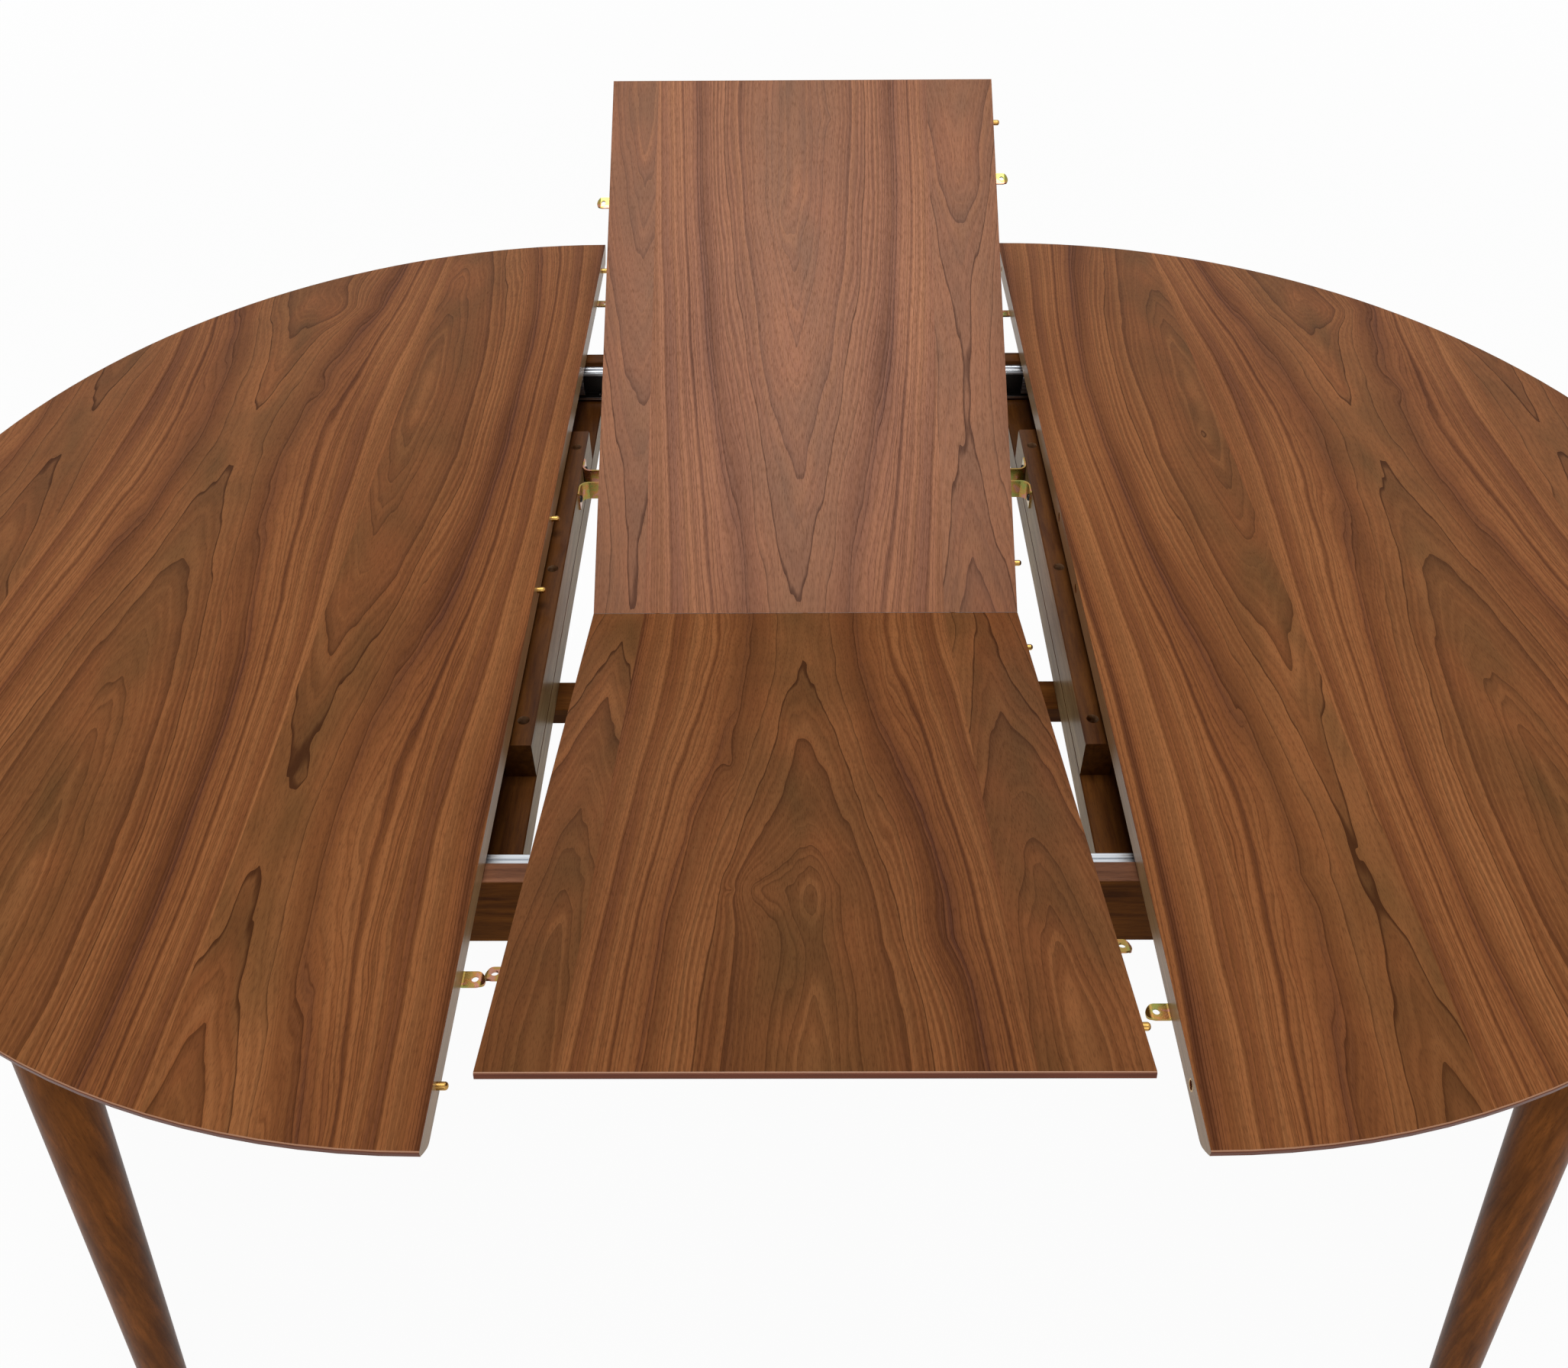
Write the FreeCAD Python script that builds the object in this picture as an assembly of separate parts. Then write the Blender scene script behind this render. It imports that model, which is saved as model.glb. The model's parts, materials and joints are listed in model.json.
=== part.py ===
import FreeCAD, Part
import math
import os

V = FreeCAD.Vector

# Extending round dining table with a butterfly leaf, millimetres, Z up.
# Origin on the floor under the middle of the table.  X is the way the two
# halves pull apart, Y runs along the leaf.  Everything is drawn with the leaf
# flat and the halves shut on the centre line, then put in the stored pose:
# halves drawn out, leaf lifted into a shallow V on its way down.

# ---- stored pose ----
half_out = 237.4          # each half's straight edge from the centre line
swing_rest = 31.1         # far leaf panel above level, degrees
fold_rest = 44.3          # near panel folded up from the far one, degrees

# ---- table top ----
table_height = 760.0
top_diameter = 1200.0
top_thick = 18.0
edge_flat = 4.7           # upright part of the rim
edge_sweep = 19.0         # how far the bevelled under-edge runs in
edge_bevel = 9.0          # pull of its curve at 45 degrees, under the rim
edge_round = 6.0          # and along the underside
top_arris = 1.5           # softened top edge

# ---- leaf ----
leaf_width = 400.0
leaf_setback = 3.0        # leaf ends short of the corners of the halves
seam_gap = 0.3            # between the two panels when flat
seam_lift = 0.3           # fold axis above the top faces, so they fold clear
pivot_y = 148.0           # swing axis from the seam, leaf flat
pivot_drop = 38.0         # swing axis below the top face

# ---- carriage under the opening ----
rail_inner = 222.0        # inner faces of rails and cleats
rail_wide = 60.0
rail_thick = 25.5
rail_drop = 62.5          # rail top below the table top
frame_arris = 1.0         # eased long edges of rails, cleats and bar
cleat_wide = 24.0
cleat_drop = 26.5         # cleat top below the table top
cleat_length = 458.0
cleat_hole = 10.0         # counterbore for the screw head
cleat_hole_deep = 24.0
cleat_hole_in = 10.0      # screw line from the inner face
cleat_screw = 5.0
cleat_pitch = 200.0
board_inner = 356.5       # inner faces of the front and back boards
board_thick = 18.0
board_drop = 20.0         # board top below the table top
board_tall = 70.0
board_length = 620.0
board_arris = 1.5
bar_wide = 36.0
bar_thick = 18.0
bar_y = -105.0            # centre of the cross bar

# ---- ball-bearing slides ----
slide_length = 610.0
slide_deep = 12.7
slide_tall = 35.0
slide_drop = 26.0         # top of the slide below the table top
slide_metal = 1.2
slide_lip = 3.2           # returned lip that keeps the balls in
slide_bend = 1.0          # bend radius of the members' centre line
slide_play = 0.5          # running gap beside the inner member
slide_hole = 4.6          # mounting holes in the outer members
slide_hole_in = 32.0      # end holes from the ends of the outer member
slide_hole_pitch = 128.0  # and the next pair from those
slide_setback = 3.6       # inner member's end behind the straight edge
inner_tall = 22.0
inner_reach = 9.0
inner_hole_xs = (62.0, 160.0, 262.0)
cage_metal = 0.8
cage_bend = 0.8
cage_reach = 8.0
cage_length = 120.0
cage_margin = 20.0        # cage from the end of the outer member
ball_dia = 4.9
ball_count = 5
ball_seat = 0.55          # share of the cage's reach where the balls run

# ---- frame under each half ----
runner_inner = 311.0      # inner face of the runner from the middle
runner_bottom = 60.0      # runner's lower face below the table top
runner_setback = 45.0     # runner's end behind the straight edge
apron_outer = 535.0       # radius of the apron's outer face
apron_thick = 18.0
apron_tall = 60.0
apron_end = 30.0          # apron ends short of the straight edge
block_size = 64.0
block_corner = 6.0
block_gap = 0.3

# ---- legs ----
leg_angle = 46.0          # plan angle of the splay from the X axis
leg_top_radius = 518.0    # leg axis from the half's centre at the top's underside
leg_foot_radius = 612.0   # and at the floor
leg_top_dia = 59.0
leg_foot_dia = 41.0
spigot_dia = 30.0
spigot_long = 42.0
spigot_root = 5.0         # spigot starts inside the leg
spigot_fit = 0.3
foot_round = 3.0
glide_dia = 30.0
glide_thick = 4.0
glide_round = 1.0

# ---- pins that line the pieces up ----
pin_dia = 5.6
pin_out = 7.5
pin_in = 20.0
pin_dome = 2.0            # height of the rounded nose
pin_nose = 0.3            # radius of the flat left on it
pin_fit = 0.4             # radial room in the socket
socket_deep = 12.0
pin_ys = (53.0, 549.0)

# ---- lock plates under the edges ----
lock_wide = 12.5
lock_thick = 1.8
lock_out = 15.5           # beyond the edge it is screwed beside
lock_in = 34.0
lock_step = 0.6           # the tongue is set down by this much
lock_eye = 5.0
lock_eye_out = 8.6        # eye from the edge
lock_bend = 3.0
lock_joggle = (-2.0, 1.0) # where the tongue starts to step down, and ends
lock_lead = 3.4           # length of the tip, turned down to lead in
lock_lead_drop = 2.4
lock_screw = 4.2
lock_screw_xs = (8.5, 24.5)  # screws from the edge
lock_y = 474.0            # middle of each pair
lock_pair = 27.0          # the two plates of a pair lie side by side

# ---- leaf pivots ----
bracket_metal = 1.6
bracket_tall = 19.0
bracket_top = 26.6        # below the table top
bracket_half = 10.5       # from the pivot to the middle of each arm
bracket_flange = 12.0
bracket_bend = 8.0        # where the arms leave the flanges
bracket_turn = 4.5        # where they meet the crown
bracket_crown = 191.0     # middle of the crown from the centre line
bracket_screw = 5.4       # screws from the ends of the flanges
lug_gap = 0.4
lug_metal = 1.6
lug_bend = 4.0
lug_flange = 26.0
lug_long = 44.0
lug_round = 8.6           # radius of the tongue about the bolt
lug_neck = 5.0            # the tongue widens this far above the bolt
lug_screw_in = 16.5       # lug screws from the upright
lug_screw_pitch = 26.4
bolt_dia = 8.0
bolt_fit = 0.1
bolt_head_dia = 11.5
bolt_head_tall = 4.5
bolt_head_round = 1.5
bolt_past = 2.0           # thread beyond the nut
nut_flats = 13.0
nut_thick = 6.0

# ---- concealed seam hinges ----
hinge_xs = (-140.0, 0.0, 140.0)
barrel_dia = 14.0
barrel_long = 16.0
barrel_fit = 0.2
link_inner = 7.2          # radii of the curved links about the fold axis
link_outer = 11.4
link_metal = 2.3
link_gap = 0.25
link_end = 24.0           # links stop this far short of level, degrees
slot_level = 1.0          # and their slots this far, degrees
slot_spare = 2.5          # room past the links' ends in the slots, degrees

# ---- derived places ----
top_z = table_height
under_z = table_height - top_thick
rim = top_diameter / 2.0
lap = 1.0                 # how far a cutting tool runs past the face it cuts
drill = 20.0              # length of a cutting tool through thin metal
panel_long = rim - leaf_setback
board_outer = board_inner + board_thick
slide_z = table_height - slide_drop - slide_tall / 2.0
runner_outer = board_inner - slide_deep
apron_inner = apron_outer - apron_thick
block_bottom = under_z - apron_tall
leg_run = under_z
leg_lean = math.degrees(math.atan2(leg_foot_radius - leg_top_radius, leg_run))
pivot_z = table_height - pivot_drop
seam_z = table_height + seam_lift
pin_z = table_height - top_thick / 2.0
SIDES = {"left": -1.0, "right": 1.0}
ENDS = {"front": -1.0, "back": 1.0}


def box(x0, x1, y0, y1, z0, z1):
    corner = V(min(x0, x1), min(y0, y1), min(z0, z1))
    return Part.makeBox(abs(x1 - x0), abs(y1 - y0), abs(z1 - z0), corner)


def cylinder(radius, length, start, direction):
    return Part.makeCylinder(radius, length, start, direction)


def flip_x(shape):
    return shape.mirror(V(0, 0, 0), V(1, 0, 0))


def flip_y(shape):
    return shape.mirror(V(0, 0, 0), V(0, 1, 0))


def strip(points, bends, metal):
    """Face of a bent strip in the XY plane: a centre line with rounded bends,
    one radius for all of them or one for each."""
    pts = [V(x, y, 0) for x, y in points]
    if not isinstance(bends, (list, tuple)):
        bends = [bends] * (len(pts) - 2)
    runs = []
    arcs = []
    start = pts[0]
    for before, here, after, bend in zip(pts, pts[1:], pts[2:], bends):
        a = (here - before).normalize()
        b = (after - here).normalize()
        turn = a.getAngle(b)
        cut = bend * math.tan(turn / 2.0)
        t1 = here - a * cut
        t2 = here + b * cut
        side = 1.0 if a.cross(b).z > 0 else -1.0
        centre = t1 + V(-a.y, a.x, 0) * (bend * side)
        runs.append((start, t1))
        arcs.append((centre, side))
        start = t2
    runs.append((start, pts[-1]))

    def edge_points(offset):
        out = []
        for p, q in runs:
            d = (q - p).normalize()
            n = V(-d.y, d.x, 0) * offset
            out.append((p + n, q + n))
        return out

    def edges(offset):
        lines = edge_points(offset)
        made = []
        for i, (p, q) in enumerate(lines):
            if (q - p).Length > 1e-6:
                made.append(Part.LineSegment(p, q).toShape())
            if i < len(arcs):
                centre = arcs[i][0]
                nxt = lines[i + 1][0]
                mid = (q + nxt) * 0.5 - centre
                mid = centre + mid.normalize() * (q - centre).Length
                made.append(Part.Arc(q, mid, nxt).toShape())
        return made, lines[0][0], lines[-1][1]

    left, l0, l1 = edges(metal / 2.0)
    right, r0, r1 = edges(-metal / 2.0)
    ends = [Part.LineSegment(l0, r0).toShape(), Part.LineSegment(l1, r1).toShape()]
    wire = Part.Wire(Part.__sortEdges__(left + right + ends))
    return Part.Face(wire)


def lay(face, origin, x_axis, y_axis):
    """Move a face drawn in XY so that its X and Y follow two given axes."""
    z_axis = x_axis.cross(y_axis)
    m = FreeCAD.Matrix(
        x_axis.x, y_axis.x, z_axis.x, origin.x,
        x_axis.y, y_axis.y, z_axis.y, origin.y,
        x_axis.z, y_axis.z, z_axis.z, origin.z,
        0, 0, 0, 1)
    return face.transformed(m)


def edge_section(reach, start):
    """Section of the top from start out to reach: flat top, upright rim,
    bevelled under-edge that rounds into the underside.  Drawn in XZ."""
    inner = reach - edge_sweep
    low = under_z
    mid = top_z - edge_flat
    p = [V(start, 0, low), V(inner, 0, low), V(reach, 0, mid)]
    q = [V(reach, 0, top_z - top_arris), V(reach - top_arris, 0, top_z), V(start, 0, top_z)]
    under = Part.BezierCurve()
    under.setPoles([p[1], V(inner + edge_round, 0, low), V(reach - edge_bevel, 0, mid - edge_bevel), p[2]])
    s = top_arris * (1 - math.sqrt(0.5))
    arris = Part.Arc(q[0], V(reach - s, 0, top_z - s), q[1])
    lines = [
        Part.LineSegment(p[0], p[1]).toShape(),
        under.toShape(),
        Part.LineSegment(p[2], q[0]).toShape(),
        arris.toShape(),
        Part.LineSegment(q[1], q[2]).toShape(),
        Part.LineSegment(q[2], p[0]).toShape(),
    ]
    return Part.Face(Part.Wire(lines))


def domed_pin(x, y, z, direction):
    """Pin standing pin_out proud of an edge at x, its end a low dome."""
    r = pin_dia / 2.0
    shaft = pin_out - pin_dome
    half = math.sqrt(0.5)
    shoulder = V(r * half, 0, shaft + pin_dome * half)
    profile = [
        Part.LineSegment(V(0, 0, -pin_in), V(r, 0, -pin_in)).toShape(),
        Part.LineSegment(V(r, 0, -pin_in), V(r, 0, shaft)).toShape(),
        Part.Arc(V(r, 0, shaft), shoulder, V(pin_nose, 0, pin_out)).toShape(),
        Part.LineSegment(V(pin_nose, 0, pin_out), V(0, 0, pin_out)).toShape(),
        Part.LineSegment(V(0, 0, pin_out), V(0, 0, -pin_in)).toShape(),
    ]
    pin = Part.Face(Part.Wire(profile)).revolve(V(0, 0, 0), V(0, 0, 1), 360)
    pin.rotate(V(0, 0, 0), V(0, 1, 0), 90.0 * direction)
    pin.translate(V(x, y, z))
    return pin


def pin_bore(x, y, into):
    r = pin_dia / 2.0
    return cylinder(r, pin_in + lap, V(x - into * lap, y, pin_z), V(into, 0, 0))


def socket_bore(x, y, into):
    r = pin_dia / 2.0 + pin_fit
    return cylinder(r, socket_deep + lap, V(x - into * lap, y, pin_z), V(into, 0, 0))


def lock_plate(x, y, out):
    """Plate under an edge at x whose tongue, with an eye and a turned-down
    tip, passes beyond it."""
    upper = -lock_thick / 2.0
    lower = upper - lock_step
    start, end = lock_joggle
    tip = lock_out - lock_lead
    line = [(-lock_in, upper), (start, upper), (end, lower), (tip, lower), (lock_out, lower - lock_lead_drop)]
    face = strip(line, lock_bend, lock_thick)
    face = lay(face, V(0, -lock_wide / 2.0, 0), V(1, 0, 0), V(0, 0, 1))
    plate = face.extrude(V(0, lock_wide, 0))
    r = lock_wide / 2.0
    high = lock_thick + lock_step + lock_lead_drop + 3.0 * lap
    low = lap - high
    outline = box(-lock_in, lock_out - r, -r, r, low, low + high)
    outline = outline.fuse(cylinder(r, high, V(lock_out - r, 0, low), V(0, 0, 1)))
    plate = plate.common(outline)
    plate = plate.cut(cylinder(lock_eye / 2.0, high, V(lock_eye_out, 0, low), V(0, 0, 1)))
    for at in lock_screw_xs:
        plate = plate.cut(cylinder(lock_screw / 2.0, high, V(-at, 0, low), V(0, 0, 1)))
    if out < 0:
        plate = flip_x(plate)
    plate.translate(V(x, y, under_z))
    return plate


# ------------------------------------------------------------------ halves
# A half is drawn on the +X side with its straight edge on the centre line.
def half_top():
    section = edge_section(rim, 0.0)
    top = section.revolve(V(0, 0, 0), V(0, 0, 1), 180)
    top.rotate(V(0, 0, 0), V(0, 0, 1), -90)
    return top


def half_bores(top, bore):
    for y in pin_ys:
        for end in (-1.0, 1.0):
            top = top.cut(bore(0.0, y * end, 1.0))
    return top


def leg_frame(end):
    """Foot of the leg axis on the floor, its top, and its direction."""
    a = math.radians(leg_angle)
    out = V(math.cos(a), end * math.sin(a), 0)
    top = out * leg_top_radius + V(0, 0, under_z)
    foot = out * leg_foot_radius
    return top, foot, out


def leg_spot(end, z):
    top, foot, out = leg_frame(end)
    return foot + (top - foot) * (z / under_z)


def leg_block(end):
    top, foot, out = leg_frame(end)
    middle = leg_spot(end, (under_z + block_bottom) / 2.0)
    half = block_size / 2.0
    block = box(-half, half, -half, half, block_bottom, under_z)
    upright = [e for e in block.Edges if abs(e.BoundBox.ZLength - apron_tall) < 1e-6]
    block = block.makeFillet(block_corner, upright)
    block.rotate(V(0, 0, 0), V(0, 0, 1), end * leg_angle)
    block.translate(V(middle.x, middle.y, 0))
    bore = cylinder(spigot_dia / 2.0 + spigot_fit, spigot_long + 2.0 * lap + spigot_fit,
                    leg_spot(end, block_bottom) - spigot_axis(end) * 2.0 * lap, spigot_axis(end))
    return block.cut(bore)


def spigot_axis(end):
    top, foot, out = leg_frame(end)
    return (top - foot).normalize()


def leg(end):
    """Tapered turned leg, square to the floor at the foot and to the block at
    the shoulder, with a spigot that goes up into the block."""
    axis = spigot_axis(end)
    top, foot, out = leg_frame(end)
    length = (top - foot).Length
    spare = leg_foot_dia / 2.0
    taper = (leg_top_dia - leg_foot_dia) / 2.0 / length
    thin = leg_foot_dia / 2.0 - taper * spare
    cone = Part.makeCone(thin, leg_top_dia / 2.0, length + spare, foot - axis * spare, axis)
    wide = cone.BoundBox
    keep = box(wide.XMin - lap, wide.XMax + lap, wide.YMin - lap, wide.YMax + lap, glide_thick, block_bottom)
    body = cone.common(keep)
    ring = [e for e in body.Edges if e.BoundBox.ZMax < glide_thick + 1e-3]
    body = body.makeFillet(foot_round, ring)
    start = leg_spot(end, block_bottom) - axis * spigot_root
    spigot = cylinder(spigot_dia / 2.0, spigot_long + spigot_root, start, axis)
    return body.fuse(spigot).removeSplitter()


def glide(end):
    spot = leg_spot(end, glide_thick)
    disc = cylinder(glide_dia / 2.0, glide_thick, V(spot.x, spot.y, 0), V(0, 0, 1))
    ring = [e for e in disc.Edges if e.BoundBox.ZMax < 1e-6]
    return disc.makeFillet(glide_round, ring)


def apron():
    """Curved skirt in three lengths, butted against the two leg blocks."""
    ring = Part.makeCylinder(apron_outer, apron_tall, V(0, 0, block_bottom))
    ring = ring.cut(Part.makeCylinder(apron_inner, apron_tall, V(0, 0, block_bottom)))
    ring = ring.common(box(apron_end, rim, -rim, rim, block_bottom, under_z))
    for end in ENDS.values():
        middle = leg_spot(end, (under_z + block_bottom) / 2.0)
        half = block_size / 2.0 + block_gap
        room = box(-half, half, -half, half, block_bottom - lap, under_z + lap)
        room.rotate(V(0, 0, 0), V(0, 0, 1), end * leg_angle)
        room.translate(V(middle.x, middle.y, 0))
        ring = ring.cut(room)
    return sorted(ring.Solids, key=lambda s: s.CenterOfMass.y)


def runner():
    """Bearer along X that the inner slide member is screwed to; its far end
    is coped to the apron."""
    bar = box(runner_setback, apron_outer, runner_inner, runner_outer, table_height - runner_bottom, under_z)
    drum = Part.makeCylinder(apron_inner - block_gap, apron_tall + 2.0 * lap, V(0, 0, block_bottom - lap))
    bar = bar.common(drum)
    middle = leg_spot(1.0, (under_z + block_bottom) / 2.0)
    half = block_size / 2.0 + block_gap
    room = box(-half, half, -half, half, block_bottom - lap, under_z + lap)
    room.rotate(V(0, 0, 0), V(0, 0, 1), leg_angle)
    room.translate(V(middle.x, middle.y, 0))
    return bar.cut(room)


def slide_section(points, bends, metal):
    """Sheet section drawn as depth from the board and height from the middle,
    returned as a face in the YZ plane of the back board (board face at Y 0,
    depth towards -Y)."""
    return lay(strip(points, bends, metal), V(0, 0, 0), V(0, -1, 0), V(0, 0, 1))


def slide_holes(member, places, face_y):
    """Mounting holes through a member's web, whose outer face is at face_y."""
    for x in places:
        start = V(x, face_y + lap, slide_z)
        long = slide_metal + 2.0 * lap
        member = member.cut(cylinder(slide_hole / 2.0, long, start, V(0, -1, 0)))
    return member


def outer_member():
    h = slide_tall / 2.0 - slide_metal / 2.0
    w = slide_metal / 2.0
    d = slide_deep - slide_play - slide_metal / 2.0
    line = [(d, h - slide_lip), (d, h), (w, h), (w, -h), (d, -h), (d, -h + slide_lip)]
    face = slide_section(line, slide_bend, slide_metal)
    member = face.extrude(V(slide_length, 0, 0))
    member.translate(V(-slide_length / 2.0, board_inner, slide_z))
    far = slide_length / 2.0 - slide_hole_in
    near = far - slide_hole_pitch
    return slide_holes(member, (-far, -near, near, far), board_inner)


def inner_member():
    h = inner_tall / 2.0 - slide_metal / 2.0
    d = slide_deep - slide_metal / 2.0
    back = slide_deep - inner_reach
    line = [(back, h), (d, h), (d, -h), (back, -h)]
    face = slide_section(line, slide_bend, slide_metal)
    long = slide_length / 2.0 - slide_setback
    member = face.extrude(V(long, 0, 0))
    member.translate(V(slide_setback, board_inner, slide_z))
    return slide_holes(member, inner_hole_xs, runner_outer + slide_metal)


def cage_height():
    outer_face = slide_tall / 2.0 - slide_metal
    inner_face = inner_tall / 2.0
    return (outer_face + inner_face) / 2.0


def ball_cage():
    """Ball retainer between the members, drawn as it lies with the half out."""
    h = cage_height()
    back = slide_metal + cage_metal
    deep = back + cage_reach
    line = [(deep, h), (back, h), (back, -h), (deep, -h)]
    face = slide_section(line, cage_bend, cage_metal)
    cage = face.extrude(V(cage_length, 0, 0))
    for level in (-h, h):
        for i in range(ball_count):
            along = cage_length * (i + 0.5) / ball_count
            at = V(along, -(back + cage_reach * ball_seat), level)
            cage = cage.fuse(Part.makeSphere(ball_dia / 2.0, at))
    end = slide_length / 2.0 - cage_margin
    cage.translate(V(end - cage_length, board_inner, slide_z))
    return cage


# ---------------------------------------------------------------- carriage
def eased(bar, x_way):
    """Chamfer the four long edges of a bar that lies along X or along Y."""
    wide = bar.BoundBox
    if x_way:
        long_edges = [e for e in bar.Edges if e.BoundBox.XLength > wide.XLength / 2.0]
    else:
        long_edges = [e for e in bar.Edges if e.BoundBox.YLength > wide.YLength / 2.0]
    return bar.makeChamfer(frame_arris, long_edges)


def rail(side):
    x0 = side * rail_inner
    x1 = side * (rail_inner + rail_wide)
    top = table_height - rail_drop
    return eased(box(x0, x1, -board_inner, board_inner, top - rail_thick, top), False)


def cleat(side):
    x0 = side * rail_inner
    x1 = side * (rail_inner + cleat_wide)
    low = table_height - rail_drop
    high = table_height - cleat_drop
    bar = eased(box(x0, x1, -cleat_length / 2.0, cleat_length / 2.0, low, high), False)
    for i in (-1, 0, 1):
        at = V(side * (rail_inner + cleat_hole_in), i * cleat_pitch, high - cleat_hole_deep)
        bar = bar.cut(cylinder(cleat_hole / 2.0, cleat_hole_deep + lap, at, V(0, 0, 1)))
        through = V(at.x, at.y, low - lap)
        bar = bar.cut(cylinder(cleat_screw / 2.0, high - low, through, V(0, 0, 1)))
    return bar


def board(end):
    high = table_height - board_drop
    half = board_length / 2.0
    y0 = end * board_inner
    y1 = end * board_outer
    plank = box(-half, half, y0, y1, high - board_tall, high)
    long_top = [e for e in plank.Edges
                if e.BoundBox.XLength > board_length - 1.0 and e.BoundBox.ZMin > high - 1e-3]
    return plank.makeFillet(board_arris, long_top)


def cross_bar():
    high = table_height - rail_drop - rail_thick
    half = rail_inner + rail_wide
    y0 = bar_y - bar_wide / 2.0
    return eased(box(-half, half, y0, y0 + bar_wide, high - bar_thick, high), True)


# ------------------------------------------------------------- leaf pivots
def bracket():
    """Hat-shaped strap on edge, +X side: two flanges on the cleat, two arms
    inwards, and a crown that carries the pivot bolt."""
    t = bracket_metal
    face_x = rail_inner - t / 2.0
    arm = bracket_half
    reach = arm + bracket_bend + bracket_flange
    line = [(face_x, -reach), (face_x, -arm), (bracket_crown, -arm),
            (bracket_crown, arm), (face_x, arm), (face_x, reach)]
    hat = strip(line, [bracket_bend, bracket_turn, bracket_turn, bracket_bend], t)
    high = table_height - bracket_top
    hat.translate(V(0, pivot_y, high - bracket_tall))
    strap = hat.extrude(V(0, 0, bracket_tall))
    strap = strap.cut(bolt_bore(bracket_crown))
    middle = high - bracket_tall / 2.0
    for end in (-1.0, 1.0):
        y = pivot_y + end * (reach - bracket_screw)
        hole = cylinder(lock_screw / 2.0, drill, V(face_x - drill / 2.0, y, middle), V(1, 0, 0))
        strap = strap.cut(hole)
    return strap


def bolt_bore(x):
    """Hole for the pivot bolt through sheet metal at x."""
    return cylinder(bolt_dia / 2.0 + bolt_fit, drill, V(x - drill / 2.0, pivot_y, pivot_z), V(1, 0, 0))


def lug_x():
    return bracket_crown - bracket_metal / 2.0 - lug_gap - lug_metal / 2.0


def lug():
    """Angle under the far panel, +X side, that hangs on the pivot bolt."""
    x = lug_x()
    low = pivot_z - lug_round
    line = [(x - lug_flange, under_z - lug_metal / 2.0), (x, under_z - lug_metal / 2.0), (x, low)]
    angle = lay(strip(line, lug_bend, lug_metal), V(0, 0, 0), V(1, 0, 0), V(0, 0, 1))
    angle.translate(V(0, pivot_y + lug_long / 2.0, 0))
    plate = angle.extrude(V(0, -lug_long, 0))
    near = x - drill / 2.0
    keep = cylinder(lug_round, drill, V(near, pivot_y, pivot_z), V(1, 0, 0))
    shoulder = pivot_z + lug_neck
    flange = box(x - lug_flange - lap, near + drill, pivot_y - lug_long, pivot_y + lug_long, shoulder, top_z)
    neck = box(near, near + drill, pivot_y - lug_round, pivot_y + lug_round, pivot_z, shoulder)
    plate = plate.common(keep.fuse(flange).fuse(neck))
    plate = plate.cut(bolt_bore(x))
    for end in (-1.0, 1.0):
        at = V(x - lug_screw_in, pivot_y + end * lug_screw_pitch / 2.0, under_z - lug_metal - lap)
        plate = plate.cut(cylinder(lock_screw / 2.0, lug_metal + 2.0 * lap, at, V(0, 0, 1)))
    return plate


def pivot_bolt():
    """Pan-head bolt from the outside of the crown with a hexagon nut inside."""
    outside = bracket_crown + bracket_metal / 2.0
    inside = lug_x() - lug_metal / 2.0 - lug_gap
    tip = inside - nut_thick - bolt_past
    axis = V(-1, 0, 0)
    head = cylinder(bolt_head_dia / 2.0, bolt_head_tall, V(outside + bolt_head_tall, pivot_y, pivot_z), axis)
    rim_edge = [e for e in head.Edges if e.BoundBox.XMin > outside + bolt_head_tall - 1e-3]
    head = head.makeFillet(bolt_head_round, rim_edge)
    shank = cylinder(bolt_dia / 2.0, outside - tip, V(outside, pivot_y, pivot_z), axis)
    bolt = head.fuse(shank)
    r = nut_flats / 2.0 / math.cos(math.radians(30.0))
    ring = [V(inside, pivot_y + r * math.cos(math.radians(60.0 * i)),
              pivot_z + r * math.sin(math.radians(60.0 * i))) for i in range(6)]
    nut = Part.Face(Part.makePolygon(ring + ring[:1])).extrude(V(-nut_thick, 0, 0))
    nut = nut.cut(cylinder(bolt_dia / 2.0, nut_thick + 2.0 * lap, V(inside + lap, pivot_y, pivot_z), axis))
    return bolt, nut


# ------------------------------------------------------------ seam hinges
def sector(r0, r1, a0, a1, x0, x1):
    """Curved link about the fold axis between two angles in the YZ plane,
    0 along +Y, turning from +Y to +Z."""
    face_edges = []

    def at(r, a):
        return V(x0, r * math.cos(math.radians(a)), seam_z + r * math.sin(math.radians(a)))

    mid = (a0 + a1) / 2.0
    face_edges.append(Part.Arc(at(r1, a0), at(r1, mid), at(r1, a1)).toShape())
    face_edges.append(Part.LineSegment(at(r1, a1), at(r0, a1)).toShape())
    face_edges.append(Part.Arc(at(r0, a1), at(r0, mid), at(r0, a0)).toShape())
    face_edges.append(Part.LineSegment(at(r0, a0), at(r1, a0)).toShape())
    return Part.Face(Part.Wire(face_edges)).extrude(V(x1 - x0, 0, 0))


def hinge_barrel(x, side):
    """Split barrel let into the seam edge; a curved slot takes the links."""
    start = V(x, side * seam_gap / 2.0, pin_z)
    barrel = cylinder(barrel_dia / 2.0, barrel_long, start, V(0, side, 0))
    wide = link_metal + 2.0 * link_gap
    low = link_inner - link_gap
    high = link_outer + link_gap
    slot = sector(low, high, slot_level - 180.0, -slot_level, x - wide, x + wide)
    stop = math.radians(link_end - slot_spare)
    floor_y = high * math.cos(stop)
    room = box(x - 2.0 * wide, x + 2.0 * wide, -floor_y, floor_y, seam_z - 2.0 * high, seam_z)
    slot = slot.common(room)
    return barrel.cut(slot)


def barrel_bore(x, side):
    start = V(x, side * (seam_gap / 2.0 - lap), pin_z)
    return cylinder(barrel_dia / 2.0 + barrel_fit, barrel_long + lap + barrel_fit, start, V(0, side, 0))


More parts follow.
